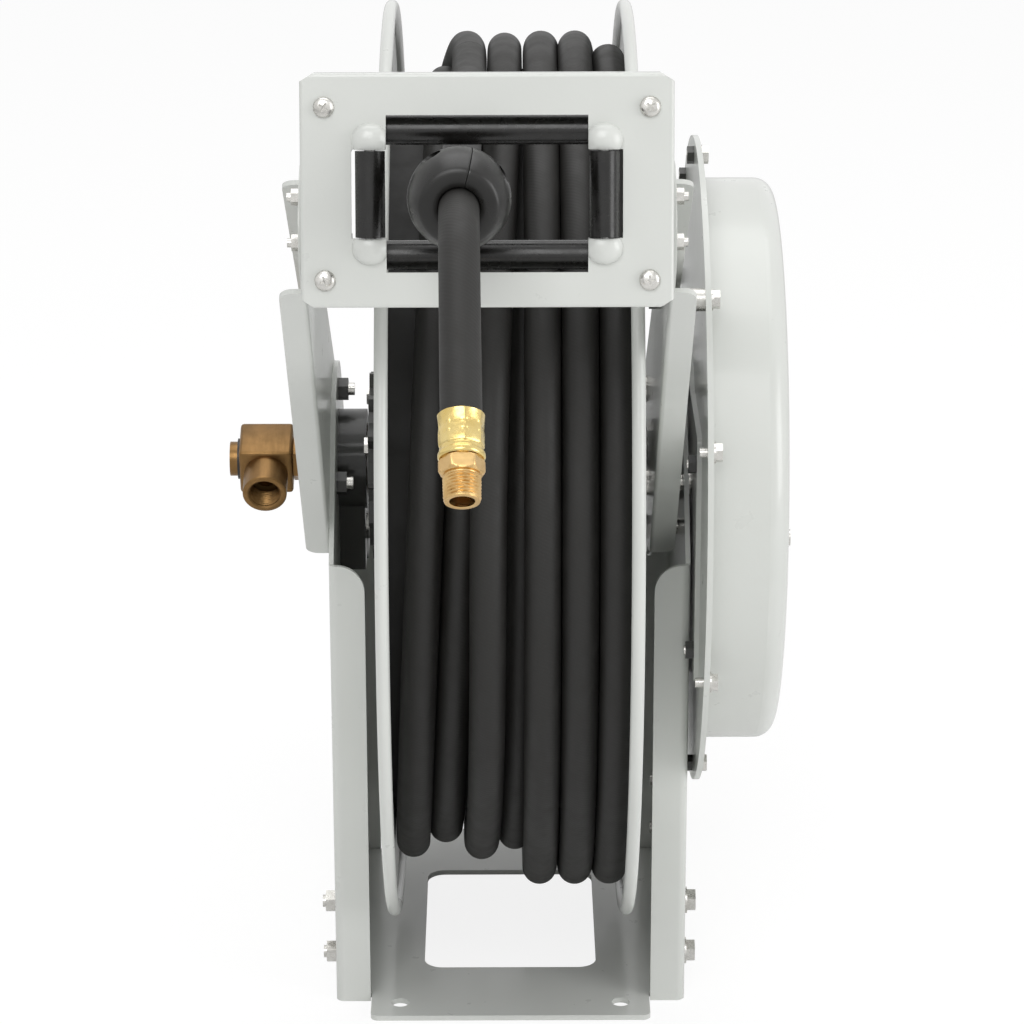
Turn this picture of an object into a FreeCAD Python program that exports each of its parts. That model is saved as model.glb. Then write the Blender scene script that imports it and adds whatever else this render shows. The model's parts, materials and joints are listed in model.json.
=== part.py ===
import FreeCAD, Part
import math
import os
import Sketcher

# Spring rewind hose reel on two pedestals, with a roller guide head on two arms and half inch hose.
# Millimetres. X runs to the right seen from the guide head's side, -Y is that side, Z is up.
# The origin is the centre of the four mounting holes on the underside of the base.

Vector = FreeCAD.Vector
Rotation = FreeCAD.Rotation
Placement = FreeCAD.Placement

doc = FreeCAD.newDocument("HoseReel")
sheet = doc.addObject("Spreadsheet::Sheet", "sizes")
PIECES = {}


class Dim:
    """A number together with the spreadsheet expression that gives it."""

    def __init__(self, number, text):
        self.number = float(number)
        self.text = text

    def __add__(self, other):
        other = dim(other)
        return Dim(self.number + other.number, f"({self.text} + {other.text})")

    def __radd__(self, other):
        return dim(other) + self

    def __sub__(self, other):
        other = dim(other)
        return Dim(self.number - other.number, f"({self.text} - {other.text})")

    def __rsub__(self, other):
        return dim(other) - self

    def __mul__(self, other):
        other = dim(other)
        return Dim(self.number * other.number, f"({self.text} * {other.text})")

    def __rmul__(self, other):
        return dim(other) * self

    def __truediv__(self, other):
        other = dim(other)
        return Dim(self.number / other.number, f"({self.text} / {other.text})")

    def __neg__(self):
        return Dim(-self.number, f"(0 - {self.text})")

    def __float__(self):
        return self.number


def dim(value):
    """A plain number as a Dim, and a Dim as it is."""
    return value if isinstance(value, Dim) else Dim(value, repr(float(value)))


def sine(angle):
    """Sine of an angle in degrees."""
    angle = dim(angle)
    return Dim(math.sin(math.radians(angle.number)), f"sin({angle.text} * 1 deg)")


def cosine(angle):
    """Cosine of an angle in degrees."""
    angle = dim(angle)
    return Dim(math.cos(math.radians(angle.number)), f"cos({angle.text} * 1 deg)")


row = 0


def size(alias, number, note):
    """Puts a driving dimension in the sheet and gives it back."""
    global row
    row += 1
    sheet.set(f"A{row}", alias)
    sheet.set(f"B{row}", str(number))
    sheet.set(f"C{row}", note)
    sheet.setAlias(f"B{row}", alias)
    return Dim(number, f"sizes.{alias}")


# Driving dimensions
axle_height = size("axle_height", 330.4, "axle above the underside of the base")
sheet_steel = size("sheet_steel", 3, "posts, arms and spring bracket")
face_gap = size("face_gap", 0.3, "clearance between seated curved pieces")
running_gap = size("running_gap", 0.05, "radial clearance of what turns")

base_steel = size("base_steel", 3.5, "base sheet")
base_length = size("base_length", 284, "base, front to back")
tab_width = size("tab_width", 178.6, "base at its mounting tabs")
base_wall_height = size("base_wall_height", 80, "upturned sides of the base")
window_width = size("window_width", 112.4, "window in the base, across")
window_length = size("window_length", 148, "window in the base, front to back")
window_corner = size("window_corner", 12, "corner radius of that window")
mount_across = size("mount_across", 141.4, "mounting holes, across")
mount_along = size("mount_along", 247.2, "mounting holes, front to back")
mount_hole = size("mount_hole", 11.5, "mounting hole diameter")

post_spread = size("post_spread", 224, "over the outer faces of both posts")
post_depth = size("post_depth", 229.6, "post, front to back")
post_lip = size("post_lip", 22, "turned in edge of a post")
post_shoulder = size("post_shoulder", 31, "top of that edge below the axle")
post_lip_corner = size("post_lip_corner", 17, "corner radius of that edge")
post_head = size("post_head", 63, "radius of the round top of a post")
post_tangent = size("post_tangent", 43, "angle where the sloping edge meets that round top")
bend_outer = size("bend_outer", 5, "outer bend radius of the sheet")
bend_inner = size("bend_inner", 2, "inner bend radius of the sheet")
post_bolt_reach = size("post_bolt_reach", 95, "post to base bolts before and behind the axle")
post_bolt_low = size("post_bolt_low", 26, "lower row of those bolts")
post_bolt_high = size("post_bolt_high", 62, "upper row of those bolts")
bolt_circle = size("bolt_circle", 47, "radius of the four bolts round the axle")
bolt_shank = size("bolt_shank", 8, "shank of the frame bolts")
hole_gap = size("hole_gap", 0.4, "how much wider than its bolt a hole is")
bolt_flats = size("bolt_flats", 13, "hexagon of the frame bolts")
bolt_head = size("bolt_head", 5.5, "head height of the frame bolts")
nut_height = size("nut_height", 6.5, "height of the frame nuts")
washer_radius = size("washer_radius", 8.5, "washer of the frame bolts")
washer_height = size("washer_height", 1.6, "thickness of that washer")

arm_angle = size("arm_angle", 46.2, "rise of the guide arms")
arm_drop = size("arm_drop", 38, "arm's middle line below the axle, square to the arm")
arm_width = size("arm_width", 82, "arm over both flanges")
arm_lip = size("arm_lip", 15.5, "arm flange height with the web")
arm_lip_start = size("arm_lip_start", 24, "near flange's lower end along the arm")
arm_lip_end = size("arm_lip_end", 355, "flanges' upper ends along the arm")
arm_length = size("arm_length", 403, "web's upper end along the arm")
arm_taper = size("arm_taper", 11.2, "the far edge of the web closes on the near edge by this angle")
arm_end_corner = size("arm_end_corner", 30, "corner radius of the web's upper end")
right_arm_face = size("right_arm_face", 88, "inner face of the right arm's web")

shaft_radius = size("shaft_radius", 17.5, "hollow shaft")
shaft_bore = size("shaft_bore", 8, "radius of the way for the fluid")
bush_radius = size("bush_radius", 23, "outside of the bearing bushes")
left_housing_radius = size("left_housing_radius", 32, "left bearing housing")
right_housing_radius = size("right_housing_radius", 27, "right bearing housing")
left_housing_length = size("left_housing_length", 18, "left bearing housing")
housing_foot_drop = size("housing_foot_drop", 69.5, "underside of the left housing's foot below the axle")

hose_diameter = size("hose_diameter", 21, "rubber hose outside")
disc_radius = size("disc_radius", 292.5, "side discs over the rolled rim")
disc_sheet = size("disc_sheet", 2, "side disc sheet")
disc_gap = size("disc_gap", 148, "between the side discs")
rim_bead = size("rim_bead", 4, "radius of the rolled rim")
drum_radius = size("drum_radius", 150, "drum outside")
drum_wall = size("drum_wall", 2.5, "drum sheet")
core_radius = size("core_radius", 224.3, "hidden inner layers of hose")
hub_radius = size("hub_radius", 46, "left hub flange")
right_hub_radius = size("right_hub_radius", 25.5, "right hub flange")
hub_length = size("hub_length", 8, "hub flanges along the axle")
hub_bolt_circle = size("hub_bolt_circle", 41, "bolts of the ratchet wheel")

ratchet_tip = size("ratchet_tip", 57, "ratchet wheel over the teeth")
ratchet_depth = size("ratchet_depth", 8, "depth of its teeth")
ratchet_sheet = size("ratchet_sheet", 5, "ratchet wheel thickness")
ratchet_teeth = 12

spacer_length = size("spacer_length", 2, "right post to spring bracket")
spacer_wall = size("spacer_wall", 1, "tube round an arm bolt between right arm and post")
stay_radius = size("stay_radius", 7, "stay between right arm and backing plate")
plate_radius = size("plate_radius", 206.5, "round backing plate")
plate_sheet = size("plate_sheet", 2, "round backing plate")
case_radius = size("case_radius", 179.5, "spring case")
case_depth = size("case_depth", 49, "spring case from the backing plate")
case_sheet = size("case_sheet", 1.5, "spring case sheet")
case_corner = size("case_corner", 12, "pressed corner radius of the spring case")
bracket_bolt_inset = size("bracket_bolt_inset", 57.5, "bracket bolts inside the spring case's radius")
bracket_edge_inset = size("bracket_edge_inset", 49.5, "bracket's edge inside that radius")
rivet_inset = size("rivet_inset", 31.5, "case rivets inside that radius")
case_bolt_circle = size("case_bolt_circle", 196, "bolts round the backing plate")
arbor_radius = size("arbor_radius", 30, "spring arbor")

head_width = post_spread / 2 + right_arm_face
head_top = size("head_top", 64.3, "guide head's top edge above the rollers' middle, along its slope")
head_bottom = size("head_bottom", 60.9, "guide head's bottom edge below the rollers' middle")
dome_high = size("dome_high", 9, "raised dome over a side roller's pin, half its height")
dome_wide = size("dome_wide", 10, "half its width")
dome_proud = size("dome_proud", 6, "half its depth through the face")
corner_relief = size("corner_relief", 4.5, "bend relief at the face's corners")
head_tilt = size("head_tilt", 12, "guide head leans back")
head_sheet = size("head_sheet", 2.5, "guide head sheet")
head_reach = size("head_reach", 347.9, "face centre forward of the axle")
head_rise = size("head_rise", 270.4, "face centre above the axle")
head_window = size("head_window", 108, "middle window, across")
head_window_height = size("head_window_height", 84, "middle window, along the slope")
head_slot_span = size("head_slot_span", 145.2, "over both side slots")
head_slot_height = size("head_slot_height", 47.4, "side slots")
head_bolt_back = size("head_bolt_back", 51.8, "arm bolts behind the face")
head_bolt_drop = size("head_bolt_drop", 17, "arm bolts below the face centre")
head_bolt_half = size("head_bolt_half", 12.5, "half the distance between those bolts")
guide_bolt_shank = size("guide_bolt_shank", 5, "shank of the bolts between guide head and arms")
guide_bolt_flats = size("guide_bolt_flats", 8, "hexagon of those bolts")
head_bolt_shank = size("head_bolt_shank", 6, "shank of the spring case's bolts and the guide screws")
head_bolt_flats = size("head_bolt_flats", 10, "hexagon of those bolts")
screw_across = size("screw_across", 174, "bracket screws, across")
screw_along = size("screw_along", 92.4, "bracket screws, along the slope")
screw_head = size("screw_head", 5.6, "radius of a pan head")
roller_radius = size("roller_radius", 8, "guide rollers")
roller_pin = size("roller_pin", 3, "radius of the roller pins")
flat_roller_length = size("flat_roller_length", 144, "top and bottom roller")
flat_roller_offset = size("flat_roller_offset", 33.6, "their axes from the face centre")
flat_roller_depth = size("flat_roller_depth", 14, "their axes behind the face")
side_roller_length = size("side_roller_length", 46, "left and right roller")
side_roller_offset = size("side_roller_offset", 62.5, "their axes from the face centre")
side_roller_proud = size("side_roller_proud", 0.6, "their axes in front of the face")

stop_radius = size("stop_radius", 27, "hose stop")
stop_face = size("stop_face", 18.9, "hose stop's flat front from its middle")
stop_offset = size("stop_offset", 14.5, "hose stop's centre from the head's middle, to the left")
stop_forward = size("stop_forward", 40, "hose stop's centre in front of the guide head's face")
tail_end = size("tail_end", 185.1, "hanging hose's end above the axle")
tail_forward = size("tail_forward", 145.1, "hanging hose's end in front of the hose stop's middle")
ferrule_length = size("ferrule_length", 23, "crimped ferrule")
ferrule_radius = size("ferrule_radius", 11.8, "crimped ferrule's bead")
fitting_hex = size("fitting_hex", 20.6, "hexagon of the hose end")
thread_radius = size("thread_radius", 9.8, "male pipe thread of the hose end")
fitting_bore = size("fitting_bore", 6.4, "bore of the hose end")
thread_length = size("thread_length", 13.5, "male pipe thread of the hose end")

swivel_standoff = size("swivel_standoff", 43.5, "inlet elbow's middle out from the left post")
swivel_width = size("swivel_width", 34, "inlet elbow along the axle")
swivel_body_half = size("swivel_body_half", 16, "half the elbow's square section")
port_radius = size("port_radius", 14.3, "inlet port outside")
port_bore = size("port_bore", 9.8, "inlet port thread's bore")
port_reach = size("port_reach", 37, "inlet port's face from the axle")
port_tilt = size("port_tilt", 19, "inlet port points this far down")
stem_flats = size("stem_flats", 25.4, "hexagon of the swivel stem")
doc.recompute()

POST_OUT = post_spread / 2
POST_IN = POST_OUT - sheet_steel
SWIVEL_X = POST_OUT + swivel_standoff
DISC_IN = disc_gap / 2
DISC_OUT = DISC_IN + disc_sheet
HOUSING_END = POST_IN - left_housing_length
RIGHT_ARM_OUT = right_arm_face + sheet_steel
BRACKET_IN = POST_OUT + spacer_length
BRACKET_OUT = BRACKET_IN + sheet_steel
PLATE_OUT = BRACKET_OUT + plate_sheet
CASE_OUT = PLATE_OUT + case_depth
HEAD_X = (right_arm_face - POST_OUT) / 2
STOP_X = HEAD_X - stop_offset


def bind(thing, prop, value):
    """Ties one property of an object to the sheet."""
    thing.setExpression(prop, dim(value).text)


def place(thing, at, turn=None):
    """Puts an object at a point that the sheet drives."""
    thing.Placement = Placement(Vector(*[float(v) for v in at]), turn or Rotation())
    for axis, value in zip("xyz", at):
        bind(thing, f"Placement.Base.{axis}", value)


ALONG = {
    "X": Rotation(Vector(0, 1, 0), 90),
    "-X": Rotation(Vector(0, 1, 0), -90),
    "Y": Rotation(Vector(1, 0, 0), -90),
    "-Y": Rotation(Vector(1, 0, 0), 90),
    "Z": Rotation(),
}
used = {}


def fresh(name):
    """A name that no object has yet."""
    used[name] = used.get(name, 0) + 1
    return name if used[name] == 1 else f"{name}_{used[name]}"


def rod(radius, length, at, along="X", name="rod"):
    """A cylinder from a point along an axis or a rotation."""
    thing = doc.addObject("Part::Cylinder", fresh(name))
    bind(thing, "Radius", radius)
    bind(thing, "Height", length)
    place(thing, at, ALONG[along] if isinstance(along, str) else along)
    return thing


def ball(radius, at, name="ball"):
    """A sphere about a point."""
    thing = doc.addObject("Part::Sphere", fresh(name))
    bind(thing, "Radius", radius)
    place(thing, at)
    return thing


def block(low, high, name="block"):
    """A box between two corners."""
    thing = doc.addObject("Part::Box", fresh(name))
    for prop, a, b in zip(("Length", "Width", "Height"), low, high):
        bind(thing, prop, dim(b) - a)
    place(thing, low)
    return thing


def prism(flats, length, at, along="X", name="prism"):
    """A hexagon bar from a point along an axis or a rotation."""
    thing = doc.addObject("Part::Prism", fresh(name))
    thing.Polygon = 6
    bind(thing, "Circumradius", dim(flats) / math.sqrt(3))
    bind(thing, "Height", length)
    place(thing, at, ALONG[along] if isinstance(along, str) else along)
    return thing


def fuse(things, name="union"):
    """One solid from several that touch."""
    thing = doc.addObject("Part::MultiFuse", fresh(name))
    thing.Shapes = things
    thing.Refine = True
    return thing


def cut(base, tools, name="cut"):
    """The base without the tools."""
    thing = doc.addObject("Part::Cut", fresh(name))
    thing.Base = base
    thing.Tool = tools[0] if len(tools) == 1 else fuse(tools, f"{name}_tools")
    return thing


def common(one, other, name="common"):
    """What two solids share."""
    thing = doc.addObject("Part::Common", fresh(name))
    thing.Base = one
    thing.Tool = other
    return thing


def group(things, name):
    """Several separate pieces as one named node."""
    thing = doc.addObject("Part::Compound", fresh(name))
    thing.Links = things
    return keep(thing, name)


def keep(thing, name):
    """Registers a finished piece under its node name."""
    thing.Label = name
    PIECES[name] = thing
    return thing


def body(name, at=(0, 0, 0), turn=None):
    """A new PartDesign body for one piece."""
    thing = doc.addObject("PartDesign::Body", fresh(name))
    place(thing, at, turn)
    return thing


def origin_plane(owner, role):
    """One of a body's own origin planes."""
    for feature in owner.Origin.OriginFeatures:
        if feature.Role == role:
            return feature
    raise ValueError(role)


def sketch_on(owner, role, offset):
    """An empty sketch on a body's origin plane, moved along the plane's normal."""
    sketch = owner.newObject("Sketcher::SketchObject", fresh("sketch"))
    sketch.AttachmentSupport = [(origin_plane(owner, role), "")]
    sketch.MapMode = "FlatFace"
    bind(sketch, "AttachmentOffset.Base.z", offset)
    return sketch


def pin_point(sketch, element, spot, x, y):
    """Fixes one point of a sketch at bound coordinates."""
    for kind, value in (("DistanceX", dim(x)), ("DistanceY", dim(y))):
        index = sketch.addConstraint(Sketcher.Constraint(kind, -1, 1, element, spot, value.number))
        sketch.setExpression(f"Constraints[{index}]", value.text)


def outline(sketch, points):
    """A closed outline of straight edges through bound points."""
    count = len(points)
    start = sketch.GeometryCount
    flat = [Vector(float(x), float(y), 0) for x, y in points]
    for i in range(count):
        sketch.addGeometry(Part.LineSegment(flat[i], flat[(i + 1) % count]), False)
    for i in range(count):
        after = start + (i + 1) % count
        sketch.addConstraint(Sketcher.Constraint("Coincident", start + i, 2, after, 1))
    for i, (x, y) in enumerate(points):
        pin_point(sketch, start + i, 1, x, y)


def rectangle(sketch, x0, y0, x1, y1):
    """An upright rectangle between two bound corners."""
    outline(sketch, [(x0, y0), (x1, y0), (x1, y1), (x0, y1)])


def ring(sketch, x, y, radius):
    """A circle with a bound centre and radius."""
    index = sketch.addGeometry(Part.Circle(Vector(float(x), float(y), 0), Vector(0, 0, 1), float(radius)), False)
    pin_point(sketch, index, 3, x, y)
    bound = sketch.addConstraint(Sketcher.Constraint("Radius", index, float(radius)))
    sketch.setExpression(f"Constraints[{bound}]", dim(radius).text)


def pad(owner, sketch, length, back=False):
    """Thickens a sketch along its normal."""
    feature = owner.newObject("PartDesign::Pad", fresh("pad"))
    feature.Profile = sketch
    feature.Reversed = back
    bind(feature, "Length", length)
    doc.recompute()
    return feature


def pocket(owner, sketch):
    """Cuts a sketch right through, both ways."""
    before = owner.Tip.Shape.Volume
    feature = owner.newObject("PartDesign::Pocket", fresh("pocket"))
    feature.Profile = sketch
    feature.Type = "ThroughAll"
    feature.Midplane = True
    doc.recompute()
    if feature.Shape.Volume > before - 1e-3:
        raise ValueError(f"{owner.Name}: a pocket cut nothing")
    return feature


def fillet(owner, radius, wanted):
    """Rounds the edges of a body's tip that a test picks by middle point and direction."""
    tip = owner.Tip
    names = []
    for i, edge in enumerate(tip.Shape.Edges, 1):
        if edge.Degenerated or edge.Curve.TypeId != "Part::GeomLine":
            continue
        if wanted(edge.CenterOfMass, edge.tangentAt(edge.FirstParameter)):
            names.append(f"Edge{i}")
    if not names:
        raise ValueError(f"{owner.Name}: no edge to round")
    feature = owner.newObject("PartDesign::Fillet", fresh("fillet"))
    feature.Base = (tip, names)
    bind(feature, "Radius", radius)
    doc.recompute()
    if "Invalid" in feature.State:
        raise ValueError(f"{owner.Name}: {len(names)} edges could not be rounded")
    return feature


def near(value, target, slack=0.05):
    """Whether a coordinate is at a bound place."""
    return abs(value - float(target)) < slack


# Base: a plate with two mounting tabs, two upturned walls and a large window
def make_base():
    base = body("base_plate")
    wall_y = post_depth / 2 - sheet_steel - bend_inner - face_gap
    plate = sketch_on(base, "XY_Plane", 0)
    x1 = POST_IN
    xt = tab_width / 2
    yt = base_length / 2
    outline(plate, [
        (-x1, -wall_y), (-xt, -wall_y), (-xt, -yt), (xt, -yt), (xt, -wall_y), (x1, -wall_y),
        (x1, wall_y), (xt, wall_y), (xt, yt), (-xt, yt), (-xt, wall_y), (-x1, wall_y),
    ])
    pad(base, plate, base_steel)
    walls = sketch_on(base, "XY_Plane", 0)
    for side in (-1, 1):
        edges = sorted((x1 * side, (x1 - base_steel) * side), key=float)
        rectangle(walls, edges[0], -wall_y, edges[1], wall_y)
    pad(base, walls, base_wall_height)
    hole = sketch_on(base, "XY_Plane", 0)
    rectangle(hole, -window_width / 2, -window_length / 2, window_width / 2, window_length / 2)
    for sx in (-1, 1):
        for sy in (-1, 1):
            ring(hole, mount_across / 2 * sx, mount_along / 2 * sy, mount_hole / 2)
    pocket(base, hole)
    bolts = sketch_on(base, "YZ_Plane", 0)
    for sy in (-1, 1):
        for height in (post_bolt_low, post_bolt_high):
            ring(bolts, post_bolt_reach * sy, height, (bolt_shank + hole_gap) / 2)
    pocket(base, bolts)
    fillet(base, window_corner, lambda p, d: near(abs(p.x), window_width / 2) and abs(d.z) > 0.9)
    fillet(base, bend_outer, lambda p, d: near(abs(p.x), x1) and near(p.z, 0) and abs(d.y) > 0.9)
    fillet(base, bend_inner, lambda p, d: near(abs(p.x), x1 - base_steel) and near(p.z, base_steel)
           and abs(d.y) > 0.9)
    fillet(base, bend_outer, lambda p, d: near(abs(p.y), yt) and near(abs(p.x), xt) and abs(d.z) > 0.9)
    fillet(base, window_corner, lambda p, d: near(p.z, base_wall_height) and abs(d.x) > 0.9
           and near(abs(p.y), wall_y))
    keep(base, "base_plate")


# Posts: a web on the outer side, both edges turned in, and a round head about the axle
def make_post(side, name):
    post = body(name)
    low = POST_IN if side > 0 else -POST_OUT
    half = post_depth / 2
    shoulder = axle_height - post_shoulder
    ty = post_head * cosine(post_tangent)
    tz = axle_height + post_head * sine(post_tangent)
    web = sketch_on(post, "YZ_Plane", low)
    rectangle(web, -half, 0, half, shoulder)
    pad(post, web, sheet_steel)
    lips = sketch_on(post, "XY_Plane", 0)
    edges = sorted((POST_OUT * side, (POST_OUT - post_lip) * side), key=float)
    for sy in (-1, 1):
        rows = sorted((half * sy, (half - sheet_steel) * sy), key=float)
        rectangle(lips, edges[0], rows[0], edges[1], rows[1])
    pad(post, lips, shoulder)
    inner = (POST_OUT - post_lip) * side
    fillet(post, post_lip_corner, lambda p, d: near(p.x, inner) and near(p.z, shoulder) and abs(d.y) > 0.9)
    fillet(post, bend_outer, lambda p, d: near(p.x, POST_OUT * side) and near(abs(p.y), half)
           and abs(d.z) > 0.9)
    fillet(post, bend_inner, lambda p, d: near(p.x, POST_IN * side) and near(abs(p.y), half - sheet_steel)
           and abs(d.z) > 0.9)
    foot = half - bend_outer
    taper = sketch_on(post, "YZ_Plane", low)
    outline(taper, [(-foot, shoulder - 1), (foot, shoulder - 1), (foot, shoulder), (ty, tz), (-ty, tz),
                    (-foot, shoulder)])
    pad(post, taper, sheet_steel)
    head = sketch_on(post, "YZ_Plane", low)
    ring(head, 0, axle_height, post_head)
    pad(post, head, sheet_steel)
    holes = sketch_on(post, "YZ_Plane", 0)
    ring(holes, 0, axle_height, shaft_radius + 4)
    for sy, sz in ((1, 0), (-1, 0), (0, 1), (0, -1)):
        ring(holes, bolt_circle * sy, axle_height + bolt_circle * sz, (bolt_shank + hole_gap) / 2)
    for sy in (-1, 1):
        for height in (post_bolt_low, post_bolt_high):
            ring(holes, post_bolt_reach * sy, height, (bolt_shank + hole_gap) / 2)
    pocket(post, holes)
    keep(post, name)


# Arms: a channel whose web widens to a round plate about the axle
STAY_ANGLE = dim(48)


def arm_hole(upper):
    """A guide head bolt in the arm's own frame, square and along the arm."""
    lean = arm_angle - head_tilt
    out = head_reach * cosine(arm_angle) + head_rise * sine(arm_angle)
    rise = head_rise * cosine(arm_angle) - head_reach * sine(arm_angle)
    along = head_bolt_back * cosine(lean) + (head_bolt_drop - head_bolt_half * upper) * sine(lean)
    across = head_bolt_back * sine(lean) - (head_bolt_drop - head_bolt_half * upper) * cosine(lean)
    return -out + along, rise + across


def arm_edge(along):
    """The web's far edge at a place along the arm: a line that touches the round plate."""
    return (post_head - along * sine(arm_taper)) / cosine(arm_taper)


def make_arm(side, face, name):
    arm = body(name, (0, 0, axle_height), Rotation(Vector(1, 0, 0), -float(arm_angle)))
    bind(arm, "Placement.Rotation.Angle", -arm_angle)
    web_x = face if side > 0 else -(face + sheet_steel)
    bottom = -arm_drop - arm_width / 2
    web = sketch_on(arm, "YZ_Plane", web_x)
    outline(web, [(-arm_length, bottom), (-arm_lip_start, bottom), (0, -post_head),
                  (-post_head * sine(arm_taper), post_head * cosine(arm_taper)),
                  (-arm_length, arm_edge(arm_length))])
    pad(arm, web, sheet_steel)
    plate = sketch_on(arm, "YZ_Plane", web_x)
    ring(plate, 0, 0, post_head)
    pad(arm, plate, sheet_steel)
    lips = sketch_on(arm, "YZ_Plane", web_x if side > 0 else -(face + arm_lip))
    rectangle(lips, -arm_lip_end, bottom, -arm_lip_start, bottom + sheet_steel)
    start = post_head + 12
    thick = sheet_steel / cosine(arm_taper)
    outline(lips, [(-arm_lip_end, arm_edge(arm_lip_end)), (-arm_lip_end, arm_edge(arm_lip_end) - thick),
                   (-start, arm_edge(start) - thick), (-start, arm_edge(start))])
    pad(arm, lips, arm_lip)
    holes = sketch_on(arm, "YZ_Plane", 0)
    ring(holes, 0, 0, shaft_radius + 4 if side < 0 else bush_radius + 2)
    for turn in (0, 90, 180, 270):
        angle = arm_angle + turn
        ring(holes, bolt_circle * cosine(angle), bolt_circle * sine(angle), (bolt_shank + hole_gap) / 2)
    for upper in (-1, 1):
        y, z = arm_hole(upper)
        ring(holes, y, z, (guide_bolt_shank + hole_gap) / 2)
    if side > 0:
        lean = STAY_ANGLE - arm_angle
        ring(holes, -case_bolt_circle * cosine(lean), case_bolt_circle * sine(lean), (head_bolt_shank + hole_gap) / 2)
    pocket(arm, holes)
    fillet(arm, arm_end_corner, lambda p, d: near(p.y, -arm_length) and abs(d.x) > 0.9)
    outer = face * side
    fillet(arm, bend_outer / 2, lambda p, d: near(p.x, outer) and (near(p.z, bottom) or near(p.z, arm_edge(dim(-p.y))))
           and abs(d.y) > 0.9 and -float(arm_lip_end) - 0.1 <= p.y <= -float(arm_lip_start))
    tip = (face + arm_lip) * side
    fillet(arm, bend_outer * 1.6, lambda p, d: near(p.x, tip) and abs(d.z) > 0.9)
    keep(arm, name)


# Fasteners
def hex_bolt(x, y, z, grip, way, shank=bolt_shank, flats=bolt_flats, head=bolt_head):
    """A hexagon bolt with a washer; the washer seats at the point and the shank runs back from it."""
    out = 1 if way == "X" else -1
    back = "-X" if way == "X" else "X"
    return fuse([
        prism(flats, head, (x + washer_height * out, y, z), way, "bolt_head"),
        rod(flats * (8.5 / 13), washer_height, (x, y, z), way, "washer"),
        rod(dim(shank) / 2, grip, (x, y, z), back, "shank"),
    ], "bolt")


def nut(x, y, z, way, shank=bolt_shank, flats=bolt_flats, height=nut_height):
    """A hexagon nut that seats at the point."""
    out = 1 if way == "X" else -1
    hexagon = prism(flats, height, (x, y, z), way, "nut_hex")
    bore = rod(dim(shank) / 2 + face_gap / 2, dim(height) + 2, (x - out, y, z), way, "nut_bore")
    return cut(hexagon, [bore], "nut")


def make_post_bolts():
    bolts = []
    nuts = []
    grip = sheet_steel + base_steel + nut_height + 2
    for sy in (-1, 1):
        for height in (post_bolt_low, post_bolt_high):
            y = post_bolt_reach * sy
            bolts.append(hex_bolt(-POST_IN + base_steel, y, height, grip, "X"))
            nuts.append(nut(-POST_OUT, y, height, "-X"))
            bolts.append(hex_bolt(POST_OUT, y, height, grip, "X"))
            nuts.append(nut(POST_IN - base_steel, y, height, "-X"))
    group(bolts, "post_bolts")
    group(nuts, "post_nuts")


QUARTERS = ((1, 0), (-1, 0), (0, 1), (0, -1))


def bolt_holes(x, length, radius):
    """Four holes on the bolt circle round the axle."""
    holes = []
    for sy, sz in QUARTERS:
        holes.append(rod(radius, length, (x, bolt_circle * sy, axle_height + bolt_circle * sz), "X", "hole"))
    return holes


def make_arm_bolts():
    bolts = []
    nuts = []
    spacers = []
    for sy, sz in QUARTERS:
        y = bolt_circle * sy
        z = axle_height + bolt_circle * sz
        bolts.append(hex_bolt(-POST_OUT - sheet_steel, y, z, 2 * sheet_steel + nut_height + 4, "-X"))
        if sz >= 0:
            nuts.append(nut(-POST_IN, y, z, "X"))
        bolts.append(hex_bolt(right_arm_face, y, z, BRACKET_OUT - right_arm_face + nut_height + 2, "-X",
                              bolt_shank, bolt_flats, 3.5))
        nuts.append(nut(BRACKET_OUT, y, z, "X"))
        outer = rod(9, spacer_length, (POST_OUT, y, z), "X", "spacer")
        inner = rod((bolt_shank + hole_gap) / 2, 30, (POST_OUT - 1, y, z), "X", "spacer_bore")
        spacers.append(cut(outer, [inner], "spacer_tube"))
        reach = POST_IN - RIGHT_ARM_OUT
        outer = rod((bolt_shank + hole_gap) / 2 + spacer_wall, reach, (RIGHT_ARM_OUT, y, z), "X", "spacer")
        inner = rod((bolt_shank + hole_gap) / 2, reach + 2, (RIGHT_ARM_OUT - 1, y, z), "X", "spacer_bore")
        spacers.append(cut(outer, [inner], "spacer_tube"))
    y, z = case_spot(STAY_ANGLE)
    outer = rod(stay_radius, BRACKET_OUT - RIGHT_ARM_OUT, (RIGHT_ARM_OUT, y, z), "X", "stay")
    inner = rod((head_bolt_shank + hole_gap) / 2, 60, (RIGHT_ARM_OUT - 1, y, z), "X", "stay_bore")
    spacers.append(cut(outer, [inner], "stay_tube"))
    nuts.append(nut(right_arm_face, y, z, "-X", head_bolt_shank, head_bolt_flats, 4.4))
    group(bolts, "arm_bolts")
    group(nuts, "arm_nuts")
    group(spacers, "bracket_spacers")


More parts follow.
